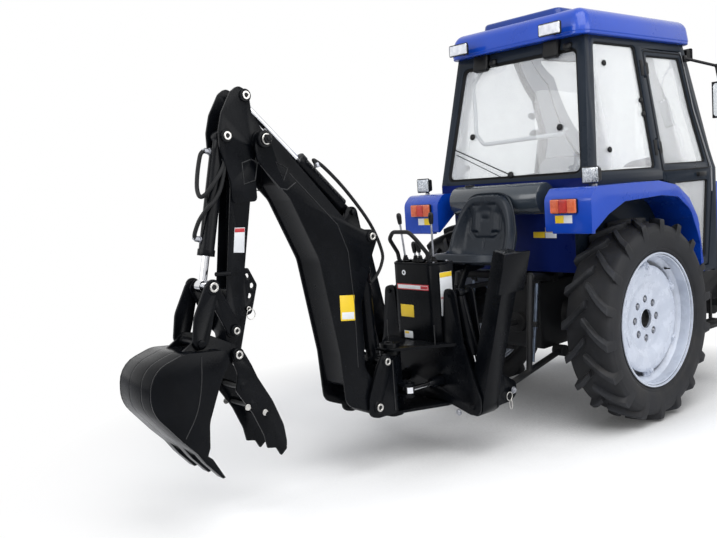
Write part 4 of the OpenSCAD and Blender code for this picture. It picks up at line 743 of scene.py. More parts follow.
# a round bar, hose, bead or seal drawn along lines
drawing, given, out = tree_of("drawn_along_lines",
                              [("Radius", FLOAT, 0.01), ("Corner", FLOAT, 0.0), ("Sides", WHOLE, 10)])
curves = place(drawing, "GeometryNodeMeshToCurve", Mesh=given.outputs["Geometry"])
filleted = place(drawing, "GeometryNodeFilletCurve", {"mode": "POLY"}, Curve=curves, Radius=given.outputs["Corner"],
                 Count=7, Limit_Radius=True)
ring = place(drawing, "GeometryNodeCurvePrimitiveCircle", Radius=given.outputs["Radius"],
             Resolution=given.outputs["Sides"])
swept = place(drawing, "GeometryNodeCurveToMesh", Curve=filleted, Profile_Curve=ring, Fill_Caps=True)
dressed = place(drawing, "GeometryNodeSetMaterial", Geometry=swept, Material=given.outputs["Finish"])
feed(drawing, out, i0=dressed)


def drawn(lines, radius, material, corner=0.0, closed=False, sides=10):
    """A round bar along each line of places."""
    points, edges = [], []
    for line in lines:
        first = len(points)
        points += [tuple(p) for p in line]
        edges += [(first + i, first + i + 1) for i in range(len(line) - 1)]
        if closed:
            edges.append((len(points) - 1, first))
    wire = bpy.data.meshes.new("wire")
    wire.from_pydata(points, edges, [])
    made = grown(wire, drawing, Radius=radius, Corner=corner, Sides=sides, Finish=material)
    softly(made, 50)
    return made


def plate(name, outline, depth, place_of, bevel=0.001):
    """A flat plate from an outline; place_of turns (a, b, depth) into a place."""
    work = bmesh.new()
    low = [work.verts.new(place_of(a, b, 0.0)) for a, b in outline]
    high = [work.verts.new(place_of(a, b, depth)) for a, b in outline]
    work.faces.new(low)
    upper = work.faces.new(high)
    n = len(outline)
    for i in range(n):
        work.faces.new((low[i], low[(i + 1) % n], high[(i + 1) % n], high[i]))
    bmesh.ops.recalc_face_normals(work, faces=work.faces)
    if bevel:
        bmesh.ops.bevel(work, geom=list(upper.edges), offset=bevel, segments=2, affect="EDGES", profile=0.5)
    return mesh_from(work, name, 40)


def upright(name, profile, sides, sharp=30):
    """A turned part that faces +Z."""
    return moved(turned(name, profile, sides, sharp), Matrix.Rotation(math.radians(90), 4, "X"))


def hose(points, radius, steps=8, sides=10):
    return drawn([smooth_line(points, steps)], radius, hose_black, sides=sides)


def ring_of(middle, count, across, along):
    """Places round a small ring, from its two half axes."""
    return [middle + across * math.cos(k / count * math.tau) + along * math.sin(k / count * math.tau)
            for k in range(count)]


black_enamel = finish("black_enamel", (0.0030, 0.0037, 0.0052, 1), (0.0016, 0.0021, 0.0031, 1), 0.16, 0.32, 420,
                      0.00030, dust=0.02, rub=0.30, radius=0.002, patch=7.0, spec=0.10, under=(0.11, 0.115, 0.125, 1))
bright_pin = finish("bright_pin", (0.62, 0.61, 0.58, 1), (0.44, 0.43, 0.41, 1), 0.24, 0.42, 900, 0.0001, metal=1.0,
                    dust=0.15, rub=0.0, radius=0.0006, patch=80.0)
weld_bead = finish("weld_bead", (0.016, 0.017, 0.019, 1), (0.007, 0.0075, 0.009, 1), 0.25, 0.45, 900, 0.0012,
                   dust=0.1, rub=0.2, radius=0.0008, patch=40.0, spec=0.4)
hard_chrome = finish("hard_chrome", (0.78, 0.79, 0.81, 1), (0.70, 0.71, 0.74, 1), 0.06, 0.14, 1200, 0.00003,
                     metal=1.0, dust=0.08, rub=0.0, radius=0.001, patch=20.0)
pin_ring = upright("pin_ring",
                   [(0.0095, -0.002), (0.0185, -0.002), (0.0185, 0.003), (0.0165, 0.0045), (0.0115, 0.0045),
                    (0.0095, 0.0025), (0.0095, 0.0)], 32)
pin_core = upright("pin_core", [(0.0, -0.003), (0.0105, -0.003), (0.0105, 0.0006), (0.0, 0.0004)], 20)
pin_collar = upright("pin_collar",
                     [(0.0, -0.016), (0.029, -0.016), (0.029, -0.006), (0.026, -0.0025), (0.0, -0.0015)], 36)


def pin_ends(spots):
    """Ring, core and collar at both ends of pins across the arm: x, z, half length and size, in millimetres."""
    places = [(at(x, s * half, z), (0, s, 0), size) for x, z, half, size in spots for s in (-1, 1)]
    return [fitted(pin_ring, bright_pin, places), fitted(pin_core, sprayed_casting, places),
            fitted(pin_collar, black_enamel, places)]


def on_side(y):
    """Places on a right-hand side plate, y millimetres from the middle."""
    return lambda a, b, d: at(a, -y - d * 1000, b)


def beads(outlines, y, radius=0.0028, closed=True):
    """Weld beads along lines on both side plates."""
    return drawn([[at(x, s * y, z) for x, z in line] for line in outlines for s in (-1, 1)], radius, weld_bead,
                 closed=closed, sides=8)


def paper(word, colour, deep):
    """Printed film, plain and smooth."""
    return finish("paper_" + word, colour, deep, 0.30, 0.45, 700, 0.0001, dust=0.15, rub=0.0, radius=0.0003)


paper_white = paper("white", (0.74, 0.76, 0.78, 1), (0.66, 0.68, 0.70, 1))
paper_yellow = paper("yellow", (0.83, 0.58, 0.02, 1), (0.74, 0.50, 0.02, 1))
paper_red = paper("red", (0.50, 0.020, 0.030, 1), (0.42, 0.018, 0.025, 1))


def sticker(material, corners, place_of):
    """A blank sticker, its corners in order."""
    return of_kind(plate("sticker", corners, 0.0006, place_of, bevel=0.0002), material)


def label(material, a0, b0, a1, b1, place_of):
    """A blank sticker with square corners, from one corner to the other."""
    return sticker(material, [(a0, b0), (a1, b0), (a1, b1), (a0, b1)], place_of)


hose_black = finish("hose_black", (0.0090, 0.0095, 0.0105, 1), (0.0060, 0.0064, 0.0072, 1), 0.42, 0.58, 900, 0.0003,
                    dust=0.06, rub=0.0, radius=0.0008, patch=20.0, spec=0.2)
top_hose = ((-1838, 60, 1548), (-1851, 60, 1572), (-1785, 62, 1527), (-1665, 62, 1412), (-1532, 62, 1248),
            (-1466, 62, 1105), (-1474, 62, 1040), (-1512, 60, 985), (-1548, 56, 955))
# boom: side pockets stamped near the elbow, seams welded round them, a blank yellow sticker
boom_pocket = [(-2090, 1568), (-2028, 1537), (-2056, 1484)]
made_good("boom", "boom_steel", black_enamel, 0.003,
          pin_ends([(-2145, 1668, 118, 1.35), (-1562, 1188, 110, 1.0)]) + [beads([boom_pocket], 95.5),
              beads([[(-2143, 1521), (-2085, 1452), (-2040, 1442), (-1990, 1472)]], 95.5, closed=False),
              beads([[(-1700, 560), (-1695, 870), (-1712, 1130), (-1765, 1262)], [(-1765, 1262), (-2020, 1515)]],
                    95.3, 0.002, closed=False),
              sticker(paper_yellow, [(-1783, 925), (-1692, 915), (-1697, 792), (-1786, 802)], on_side(95.2)),
              sticker(paper_white, [(-1776, 842), (-1702, 834), (-1703, 800), (-1778, 809)], on_side(95.7)),
              fitted(hex_bolt("line_nut", 0.024, 0.022), zinc_bolt,
                     [(at(-1834, s * 60, 1538), (-0.3, 0, 1), 1.0) for s in (-1, 1)]),
              hose([at(x, -y, z) for x, y, z in top_hose], 0.0085), hose([at(*point) for point in top_hose], 0.0070),
              fitted(hex_bolt("elbow_nut", 0.038, 0.016), black_enamel,
                     [(at(-2145, s * 118, 1668), (0, s, 0), 1.0) for s in (-1, 1)])])
# dipper: a doubler's pocket and seam, a blank white sticker with a red head, a pin's tube, the rack's pin
dipper_pocket = [(-2243, 1571), (-2193, 1586), (-2163, 1569), (-2182, 1493), (-2241, 1479)]
made_good("dipper", "dipper_steel", black_enamel, 0.0025,
          pin_ends([(-2202, 1862, 71, 1.0), (-2312, 1689, 71, 1.0), (-2356, 850, 86, 0.85)]) + [
              beads([dipper_pocket], 58.3),
              beads([[(-2304, 1430), (-2286, 1421), (-2229, 1443), (-2196, 1415), (-2180, 1425)]], 46.5,
                    closed=False), drawn([[at(-2418, -54, 1103), at(-2345, -50, 1099)]], 0.010, black_enamel),
              sticker(paper_white, [(-2300, 1293), (-2248, 1290), (-2262, 1180), (-2316, 1186)], on_side(46.3)),
              sticker(paper_red, [(-2299, 1290), (-2250, 1287), (-2252, 1270), (-2302, 1273)], on_side(46.8)),
              drawn([ring_of(at(-2262, -60, 906), 10, Vector((0.022, 0, 0)), Vector((0, 0, 0.024)))], 0.0018,
                    bright_pin, closed=True, sides=8),
              fitted(pin_ring, bright_pin, [(at(-2262, s * 46, 930), (0, s, 0), 0.6) for s in (-1, 1)])])
made_good("guide_link", "guide_link_steel", black_enamel, 0.003)
made_good("bucket_link", "bucket_link_steel", black_enamel, 0.003, pin_ends([(-2457, 1054, 99, 1.15)]))
made_good("swing_frame", "swing_post_steel", black_enamel, 0.003,
          pin_ends([(-1600, 340, 124, 1.1), (-1530, 558, 124, 1.0)]) + [
              drawn([[at(-1490, s * 114, 300), at(-1490, s * 114, 556)] for s in (-1, 1)], 0.003, weld_bead,
                    sides=8)])
thumb_disc = [(at(x, s * 92.5, z), (0, s, 0), 0.85) for x, z in ((-2350, 600), (-2337, 507), (-2251, 464))
              for s in (-1, 1)]
thumb_cap = upright("thumb_cap", [(0.0, -0.003), (0.0165, -0.003), (0.0165, 0.002), (0.015, 0.003), (0.0, 0.003)], 28)
made_good("thumb", "thumb_steel", black_enamel, 0.002, [fitted(thumb_cap, bright_pin, thumb_disc)])
made_good("thumb_strut", "thumb_strut_steel", black_enamel, 0.002)
down, outward = Vector((-0.2226, 0, -0.9749)), Vector((-0.9749, 0, 0.2226))


def on_tube(a, b, h):
    """A place by the bucket cylinder: down it from its head, sideways and out from its middle, in millimetres."""
    return at(-2312, 0, 1689) + down * (a / 1000) + Vector((0, b / 1000, 0)) + outward * (h / 1000)


cylinder_hoses = [fitted(hex_bolt("hose_nut", 0.022, 0.030), zinc_bolt,
                         [(on_tube(70, 10, 30), outward, 1.0), (on_tube(452, 6, 30), outward, 1.0)]),
                  drawn([[on_tube(96, -44, -8), on_tube(96, -44, -28)]], 0.013, zinc_bolt, sides=10)]
for line in (((70, 10, 52), (78, 12, 66), (100, 14, 74), (170, 15, 76), (236, 8, 74), (272, -10, 66), (262, -26, 50),
              (225, -37, 30), (180, -42, 8), (130, -43, -12), (92, -43, -16)),
             ((452, 6, 52), (444, 4, 62), (420, -2, 64), (370, -16, 57), (320, -33, 36), (280, -42, 10),
              (225, -44, -10), (150, -44, -18), (96, -43, -22))):
    cylinder_hoses.append(hose([on_tube(*point) for point in line], 0.0095, 6, 12))
for node, name in (("boom_barrel", "boom_cylinder"), ("dipper_barrel", "dipper_cylinder"),
                   ("bucket_barrel", "bucket_cylinder"), ("swing_barrels", "swing_cylinders"),
                   ("left_stabilizer_barrel", "left_leg_cylinder"), ("right_stabilizer_barrel", "right_leg_cylinder"),
                   ("left_stabilizer", "left_leg_steel"), ("right_stabilizer", "right_leg_steel")):
    made_good(node, name, black_enamel, 0.0025, cylinder_hoses if node == "bucket_barrel" else ())
made_good("backhoe_frame", "backhoe_frame_steel", black_enamel, 0.0025,
          [fitted(hex_bolt("frame_nut", 0.024, 0.011), zinc_bolt,
                  [(at(-1273, s * 347, 278), (-1, 0, 0), 1.0)
                   for s in (-1, 1)] + [(at(-925, s * 411, 325), (0, s, 0), 1.1) for s in (-1, 1)]),
           drawn([[at(-1245, s * 178, 592), at(-1245, s * 178, 700)] for s in (-1, 1)], 0.003, weld_bead, sides=8)])
dress(hard_chrome, "boom_rod", "dipper_rod", "bucket_rod", "left_swing_rod", "right_swing_rod", "left_stabilizer_rod",
      "right_stabilizer_rod")


# ---- Bucket: rolled shell with side plates, wear straps and teeth.
# The shell is rolled from one plate and welded between two side plates; narrow seams part it into three
# bands, and the lip's teeth are worn to bare steel at their tips.
bucket_steel = finish("bucket_steel", (0.0026, 0.0033, 0.0048, 1), (0.0014, 0.0019, 0.0030, 1), 0.12, 0.25, 420,
                      0.00035, dust=0.04, rub=0.45, radius=0.0025, patch=7.0, spec=0.085, under=(0.13, 0.13, 0.14, 1))
tree = bucket_steel.node_tree
spot = place(tree, "ShaderNodeTexCoord")
parts = place(tree, "ShaderNodeSeparateXYZ", Vector=spot.outputs["Object"])
off = maths(tree, "ABSOLUTE", parts.outputs["Y"])
from_seam, from_edge = (maths(tree, "ABSOLUTE", maths(tree, "SUBTRACT", off, line)) for line in (0.052, 0.136))
nearest = maths(tree, "MINIMUM", from_seam, from_edge)
groove = ramp(tree, nearest, 0.002, 0.006, 1.0, 0.0)
relief = next(node for node in tree.nodes if node.type == "BUMP")
skin = next(node for node in tree.nodes if node.type == "GROUP" and node.node_tree == grain)
depth = maths(tree, "MULTIPLY_ADD", groove, -8.0, skin.outputs["Height"])
feed(tree, relief, Height=depth)
made_good("bucket", "bucket_shell", bucket_steel, 0.003, pin_ends([(-2366, 748, 105, 1.0)]) + [
    beads([smooth_line([(-2572, 784), (-2584, 664), (-2616, 553), (-2676, 462)], 8)], 148.3, 0.0022, closed=False)])


# ---- Console and controls: a steel box with a lid, four levers and a grab loop.
# The box is bent sheet, open below, and its lid folds over the front. The levers carry moulded black
# knobs over rubber boots, and the loop is one bent bar on two discs. Its stickers are blank.
def rounded_box(name, low, high, corner, edge, crown=0.0, draw=0.0, rim=5, foot=None):
    """A block with rounded upright corners and a rounded top edge; the top may be crowned and the sides drawn in."""
    foot = min(edge, 0.003) if foot is None else foot
    levels = [(low.z + foot * (1 - math.cos(a * math.pi / 6)), foot * (1 - math.sin(a * math.pi / 6)))
              for a in range(3)]
    levels += [(low.z + foot, 0.0)]
    levels += [(high.z - edge + edge * math.sin(a * math.pi / 2 / rim), edge * (1 - math.cos(a * math.pi / 2 / rim)))
               for a in range(rim + 1)]
    half = min(high.x - low.x, high.y - low.y) / 2
    for k in range(1, 5):
        levels.append((high.z + crown * (1 - (1 - k / 4) ** 2), edge + (half * 0.92 - edge) * k / 4))
    work = bmesh.new()
    loops = []
    for z, inset in levels:
        inset += draw * max(0.0, min(1.0, (z - low.z) / (high.z - low.z)))
        r = max(corner - inset, 0.0015)
        x0, x1, y0, y1 = low.x + inset, high.x - inset, low.y + inset, high.y - inset
        r = min(r, (x1 - x0) / 2 - 0.0001, (y1 - y0) / 2 - 0.0001)
        loop = []
        for cx, cy, start in ((x1 - r, y1 - r, 0), (x0 + r, y1 - r, 90), (x0 + r, y0 + r, 180),
                              (x1 - r, y0 + r, 270)):
            for k in range(9):
                a = math.radians(start + 90 * k / 8)
                loop.append(work.verts.new((cx + r * math.cos(a), cy + r * math.sin(a), z)))
        loops.append(loop)
    walled(work, loops, upward=True)
    return mesh_from(work, name, 40)


knob_plastic = finish("knob_plastic", (0.0060, 0.0063, 0.0072, 1), (0.0042, 0.0044, 0.0052, 1), 0.30, 0.44, 900,
                      0.00015, dust=0.05, rub=0.1, radius=0.001, spec=0.22)
low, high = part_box("console")
console_face = low.x - 0.0004


def front(a, b, d):
    return Vector((console_face - d, a / 1000, b / 1000))


lid = rounded_box("lid", Vector((low.x - 0.001, low.y - 0.001, high.z - 0.014)),
                  Vector((high.x, high.y + 0.001, high.z)), 0.055, 0.004, 0.0, foot=0.002)
spot_ring = upright("spot", [(0.0, -0.001), (0.014, -0.001), (0.014, 0.0004), (0.0, 0.0006)], 32)
spot_disc = fitted(spot_ring, paper_white, [(front(62, 961, 0), (-1, 0, 0), 1.0)])
spot_hub = fitted(spot_ring, knob_plastic, [(front(62, 961, 0.0006), (-1, 0, 0), 0.45)])
CONSOLE_SIDE = -165.2


def lifted(place_of, lift):
    """The same places, a little further out."""
    return lambda a, b, d: place_of(a, b, d + lift)


def console_side(a, b, d):
    return at(a, CONSOLE_SIDE - d * 1000, b)


console_labels = [label(kind, *corners, lifted(place_of, lift)) for kind, corners, place_of, lift in (
    (paper_red, (118, 900, -118, 870), front, 0), (paper_white, (113, 895, -113, 875), front, 0.0005),
    (paper_red, (-60, 893, -112, 877), front, 0.0010), (paper_yellow, (101, 788, 2, 722), front, 0),
    (paper_white, (84, 645, 20, 607), front, 0), (paper_yellow, (80, 642, 50, 630), front, 0.0005),
    (paper_white, (-1170, 736, -1080, 962), console_side, 0),
    (paper_yellow, (-1169, 936, -1081, 961), console_side, 0.0006),
    (paper_red, (-1169, 826, -1081, 832), console_side, 0.0006))]
made_good("console", "console_box", black_enamel, 0.004, [lid, spot_disc, spot_hub] + console_labels + [
    fitted(hex_bolt("lid_screw", 0.010, 0.004), zinc_bolt, [(Vector((x, y, high.z)), (0, 0, 1), 1.0)
           for x in (low.x + 0.03, high.x - 0.02) for y in (low.y + 0.03, high.y - 0.03)])])
deck = high.z
LEVER_X, LOOP_X = axle_x - 1.140, axle_x - 1.186
half_loop = [(-1.186, 0.112, 0), (-1.196, 0.112, 0.05), (-1.262, 0.100, 0.130), (-1.272, 0.060, 0.168)]
loop_line = [Vector((axle_x + x, s * y, deck + z))
             for s, side_line in ((1, half_loop), (-1, half_loop[::-1])) for x, y, z in side_line]
foot_disc = upright("foot_disc",
                    [(0.0, 0.0), (0.020, 0.0), (0.020, 0.005), (0.018, 0.007), (0.013, 0.008), (0.012, 0.014),
                     (0.0, 0.014)], 32)
knob = upright("knob",
               [(0.0, -0.004), (0.0095, -0.004), (0.0115, 0.004), (0.0135, 0.030), (0.0138, 0.042), (0.0115, 0.052),
                (0.006, 0.0565), (0.0, 0.058)], 24, sharp=60)
boot = upright("boot",
               [(0.0, 0.0), (0.021, 0.0), (0.021, 0.003), (0.016, 0.006), (0.018, 0.010), (0.013, 0.014),
                (0.015, 0.018), (0.010, 0.022), (0.012, 0.026), (0.0075, 0.032), (0.0, 0.032)], 24, sharp=60)
# sideways place, rise and lean of each lever
levers = [(0.112, 0.205, 0.006), (0.034, 0.050, 0.0), (0.0, 0.052, 0.0), (-0.100, 0.205, -0.018)]
lever_feet = [Vector((LEVER_X, y, deck)) for y, rise, swing in levers]
lever_tops = [foot + Vector((-rise * 0.10, swing, rise)) for foot, (y, rise, swing) in zip(lever_feet, levers)]
put("lever_bank", "root", slot_of["console_controls"], [
    drawn([loop_line], 0.011, knob_plastic, corner=0.045, sides=16),
    fitted(foot_disc, black_enamel, [(Vector((LOOP_X, s * 0.112, deck)), (0, 0, 1), 1.0) for s in (-1, 1)]),
    drawn(list(zip(lever_feet, lever_tops)), 0.0055, zinc_bolt),
    fitted(knob, knob_plastic, [(top_, (-0.10, lever[2] * 5, 1), 1.0) for top_, lever in zip(lever_tops, levers)]),
    fitted(boot, knob_plastic, [(foot, (0, 0, 1), 1.0) for foot in lever_feet])],
    knob_plastic, replaced=("console_controls",))


# ---- Hitch: lower links, lift rods, top link and the engine side below the cab.
# Forged and cast links sprayed black, with a plated lift rod on each side between two clevises. Bright
# linch pins with rings hold the backhoe's arms on the lower links.
for node, name in (("engine_block", "engine"), ("transmission", "gearbox"), ("front_bolster", "bolster"),
                   ("front_axle", "axle"), ("left_knuckle", "left_knuckle"), ("right_knuckle", "right_knuckle")):
    made_good(node, name + "_casting", sprayed_casting, 0.004)
plated_rod = finish("plated_rod", (0.16, 0.20, 0.27, 1), (0.10, 0.12, 0.16, 1), 0.25, 0.40, 800, 0.0002, metal=0.9,
                    dust=0.2, rub=0.2, radius=0.001, patch=30.0)
nuts, rings = [], []
for s in (-1, 1):
    nuts += [(at(-455, s * 236, 835), (0.16, 0, -1), 1.0), (at(-498, s * 240, 575), (0.16, 0, 1), 1.15)]
    rings += [ring_of(at(-958, s * 412, 300), 12, Vector((0.022, 0, 0)), Vector((0, 0, 0.022))),
              ring_of(at(-952, s * 414, 256), 12, Vector((0, 0.010, 0)), Vector((0, 0, 0.024)))]
made_good("hitch_links", "hitch_forgings", sprayed_casting, 0.003, [
    drawn([[at(-452, s * 236, 850), at(-500, s * 240, 560)] for s in (-1, 1)], 0.0115, plated_rod, sides=14),
    drawn([[at(-500, s * 240, 560), at(-540, s * 246, 380)] for s in (-1, 1)], 0.0085, plated_rod, sides=12),
    fitted(hex_bolt("rod_nut", 0.030, 0.026), sprayed_casting, nuts),
    drawn(rings, 0.0024, bright_pin, closed=True, sides=8)])


# ---- Oil tank behind the cab.
# A rolled steel tank with pressed ends in dark slate gloss enamel, strapped to the cab's rear crossbar,
# with a filler cap on top.
tank_enamel = finish("tank_enamel", (0.030, 0.040, 0.052, 1), (0.022, 0.030, 0.040, 1), 0.16, 0.28, 520, 0.0002,
                     coat=0.5, dust=0.12, rub=0.2, radius=0.004, patch=4.0, spec=0.4)
made_good("oil_tank", "hydraulic_tank", tank_enamel, 0.006,
          [fitted(upright("cap", [(0.0, -0.004), (0.030, -0.004), (0.030, 0.006), (0.027, 0.009), (0.0, 0.010)], 28),
                  knob_plastic, [(at(-458, 230, 1387), (0, 0, 1), 1.0)])])


# ---- Hood, roof and fenders in blue enamel.
# Pressed and rolled steel with generous rounded edges, in deep blue gloss with a clear top coat. The roof
# carries a raised hatch lid, and each fender is folded down over the tyre's outer shoulder.
blue_enamel = finish("blue_enamel", (0.0018, 0.052, 0.42, 1), (0.0014, 0.044, 0.37, 1), 0.22, 0.36, 620, 0.00018,
                     coat=0.45, coat_rough=0.10, dust=0.06, rub=0.15, under=(0.35, 0.37, 0.42, 1), radius=0.003,
                     patch=3.0, spec=0.35)
hatch_blue = finish("hatch_blue", (0.0018, 0.034, 0.24, 1), (0.0014, 0.027, 0.19, 1), 0.25, 0.38, 620, 0.0002,
                    coat=0.3, dust=0.08, rub=0.15, radius=0.003, patch=3.0, spec=0.3)
pale_lining = finish("pale_lining", (0.46, 0.47, 0.49, 1), (0.40, 0.41, 0.43, 1), 0.55, 0.75, 500, 0.0004, dust=0.05,
                     rub=0.0, radius=0.002, patch=4.0, spec=0.2)
low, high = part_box("cab_roof")
roof_top = high.z - 0.040
shell = rounded_box("shell", Vector((low.x, low.y, low.z + 0.012)), Vector((high.x, high.y, roof_top)), 0.085, 0.060,
                    crown=0.006, draw=0.022, rim=8, foot=0.012)
lip = rounded_box("lip", Vector((low.x + 0.004, low.y + 0.004, low.z)),
                  Vector((high.x - 0.004, high.y - 0.004, low.z + 0.030)), 0.082, 0.006, foot=0.006)
hatch = rounded_box("hatch", Vector((axle_x - 0.212, -0.290, roof_top - 0.012)),
                    Vector((axle_x + 0.430, 0.290, high.z)), 0.05, 0.016, crown=-0.0006, draw=0.010)
hatch.materials.append(hatch_blue)
put("roof_cap", "root", "blue_paint", [shell, lip, hatch], blue_enamel, replaced=("cab_roof",))
FENDER_BACK = -575.2
tail_labels = [label(kind, s * y0, 1167, s * y1, 1208, lambda a, b, d: at(FENDER_BACK - d * 1000, a, b))
               for s in (-1, 1) for y0, y1, kind in ((466, 520, paper_yellow), (520.5, 573, paper_white))]
made_good("rear_fenders", "fender_steel", blue_enamel, 0.024, tail_labels, segments=5)
made_good("hood", "hood_steel", blue_enamel, 0.012, segments=3)
made_good("grille", "grille_and_headlamps", knob_plastic, 0.004)
made_good("fuel_tank", "fuel_tank_shell", knob_plastic, 0.018, segments=3)


# ---- Cab frame and doors: welded sheet steel posts in dark slate enamel.
# The posts are slate outside and carry a pale lining inside, and the lower rear wall is blue, darkened as
# painted shade. Every pane is seated in a black rubber seal, and each door hangs on two black strap hinges
# with a black pull handle.
slate_enamel = finish("slate_enamel", (0.0125, 0.0180, 0.0275, 1), (0.0095, 0.0145, 0.0225, 1), 0.24, 0.38, 620,
                      0.00018, coat=0.05, dust=0.04, rub=0.12, radius=0.003, patch=3.0, spec=0.12)
seal_rubber = finish("seal_rubber", (0.0062, 0.0064, 0.0070, 1), (0.0045, 0.0047, 0.0052, 1), 0.5, 0.7, 700, 0.0003,
                     dust=0.06, rub=0.0, radius=0.001, patch=20.0, spec=0.18)
# painted shade: a darkened copy of the blue paint for the lower rear wall, which lies in shade
wall_blue = finish("wall_blue", (0.0032, 0.012, 0.110, 1), (0.0022, 0.008, 0.075, 1), 0.25, 0.4, 620, 0.0002,
                   dust=0.06, rub=0.1, radius=0.003, patch=3.0, spec=0.15)
# how far the rear window, the side walls and the windscreen lean, and the sill they lean from
tilt, lean_in, screen_lean = math.radians(10), math.radians(5.86), math.radians(16.4)
SILL = 1400


def rear(lx, y, h):
    """A place on the rear window's plane: forward of its outer face, sideways and up it, in millimetres."""
    return at(-372 + lx * math.cos(tilt) + h * math.sin(tilt), y, SILL - lx * math.sin(tilt) + h * math.cos(tilt))


def flank(s, x, h, d):
    """A place on a side wall's plane: along it, up it and out from it, in millimetres."""
    return at(x, s * (545 + d * math.cos(lean_in) - h * math.sin(lean_in)),
              SILL + h * math.cos(lean_in) + d * math.sin(lean_in))


def front_wall(lx, y, h):
    """A place on the windscreen's plane, as for the rear window."""
    return at(1052 + lx * math.cos(screen_lean) - h * math.sin(screen_lean), y,
              SILL + lx * math.sin(screen_lean) + h * math.cos(screen_lean))


def lined(mesh, outer=slate_enamel, shaded_blue=None):
    """The inner faces of the cab's walls take the pale lining; low outer faces at the rear take the darkened blue, a
    painted shade.
    """
    mesh.materials.clear()
    for kind in (outer, pale_lining, shaded_blue or outer):
        mesh.materials.append(kind)
    for face in mesh.polygons:
        x, y, z = (face.center.x - axle_x) * 1000, face.center.y * 1000, face.center.z * 1000
        up_ = max(0.0, z - SILL)
        back, ahead_ = -329 + up_ * math.tan(tilt), 1010 - up_ * math.tan(screen_lean)
        side_in = 514 - up_ * math.tan(lean_in)
        inside = (face.normal.y * (1 if y > 0 else -1) < -0.75 and 380 < abs(y) < side_in
                  and back + 8 < x < ahead_ - 8)
        inside |= face.normal.x > 0.75 and abs(x - back) < 14 and z > 920
        inside |= face.normal.x < -0.75 and abs(x - ahead_) < 16 and z > 920
        if z > 905 and inside:
            face.material_index = 1
        # painted shade: the lower rear wall's faces take the darkened blue
        elif shaded_blue is not None and z < 1345 and x < -100 and 905 < z:
            face.material_index = 2
    return mesh


def seal(points, radius, corner, sides=8):
    """A closed rubber bead round an opening."""
    return drawn([points], radius, seal_rubber, corner=corner, closed=True, sides=sides)


rear_opening = [(-500, 20), (500, 20), (418, 730), (-418, 730)]
quarter = [(-285, 22), (330, 22), (268, 750), (-165, 750)]
upper_pane = [(440, 40), (945, 40), (838, 375), (765, 700), (372, 700)]
lower_pane = [(520, 1330), (655, 1090), (655, 880), (680, 830), (900, 830), (960, 1330)]
window_knob = upright("window_knob",
                      [(0.0, -0.004), (0.010, -0.004), (0.010, 0.002), (0.0165, 0.004), (0.0185, 0.009),
                       (0.0165, 0.014), (0.009, 0.018), (0.0, 0.019)], 24)
out_back = rear(-1, 0, 0) - rear(0, 0, 0)
fixtures = [seal([rear(17, y, h) for y, h in rear_opening], 0.010, 0.042, 10),
            seal([rear(15, y, h) for y, h in [(-489, 33), (489, 33), (408, 718), (-408, 718)]], 0.0055, 0.036),
            seal([front_wall(-14, y, h) for y, h in [(-490, 30), (490, 30), (412, 750), (-412, 750)]], 0.009, 0.04),
            fitted(window_knob, knob_plastic,
                   [(rear(18, 315, 296), out_back, 1.05), (rear(18, -332, 293), out_back, 1.05),
                    (rear(18, -4, 42), out_back, 1.15)])]
for s in (-1, 1):
    fixtures.append(seal([flank(s, x, h, -17) for x, h in quarter], 0.010, 0.032, 10))
    fixtures.append(fitted(window_knob, knob_plastic, [(flank(s, x, h, -18), (0, s, 0.1), 0.95) for x, h in
                                                       [(-65, 635), (272, 429), (283, 348), (-117, 145)]]))
    # strap hinges over the joint between the post and the door
    for x, h in ((372, 145), (330, 620)):
        fixtures.append(of_kind(plate("hinge_strap",
                                      [(x - 34, h - 46), (x - 6, h - 46), (x - 2, h + 46), (x - 36, h + 46)], 0.006,
                                      lambda a, b, d, s=s: flank(s, a, b, -1 + d * 1000), bevel=0.002), knob_plastic))
# pads that the rear window hangs on, the wiper, and a grab rail
for y0, y1, h0, h1, deep in ((-311, -201, 690, 798, 26), (-389, -333, 719, 765, 18), (204, 321, 690, 800, 26),
                             (146, 205, 712, 758, 18)):
    pad = rounded_box("hanger", Vector((-(y1 - y0) / 2000, -(h1 - h0) / 2000, -0.002)),
                      Vector(((y1 - y0) / 2000, (h1 - h0) / 2000, deep / 1000)), 0.018, 0.009, crown=0.002,
                      draw=0.003, foot=0.001)
    up_window = (rear(0, 0, 1) - rear(0, 0, 0)).normalized()
    pose = Matrix((Vector((0, -1, 0)), up_window, out_back.normalized())).transposed().to_4x4()
    pose.translation = rear(0, (y0 + y1) / 2, (h0 + h1) / 2)
    fixtures.append(of_kind(moved(pad, pose), knob_plastic))
grab_rail = ((70, 317, 715), (76, 387, 624), (80, 360, 470), (80, 344, 328), (80, 281, 262), (80, -299, 275),
             (40, -340, 290))
fixtures += [drawn([[rear(10, -4, 42), rear(4, 120, 92), rear(4, 448, 224)]], 0.0035, seal_rubber, sides=8),
             drawn([[rear(14, 60, 30), rear(13, 448, 196)]], 0.0022, seal_rubber, sides=6),
             drawn([[rear(*point) for point in grab_rail]], 0.012, pale_lining, corner=0.05, sides=12)]
frame_skin = lined(eased("cab_frame", 0.005), shaded_blue=wall_blue)
for y0, y1, z0, z1, kind in ((-162, -242, 1070, 1104, paper_yellow), (-246, -322, 1069, 1100, paper_white),
                             (-246, -322, 1101, 1129, paper_yellow)):
    fixtures.append(label(kind, y0, z0, y1, z1, lambda a, b, d: at(-372.3 - d * 1000, a, b)))
put("cab_shell", "root", "slate_paint", [frame_skin] + fixtures, slate_enamel, replaced=("cab_frame",))
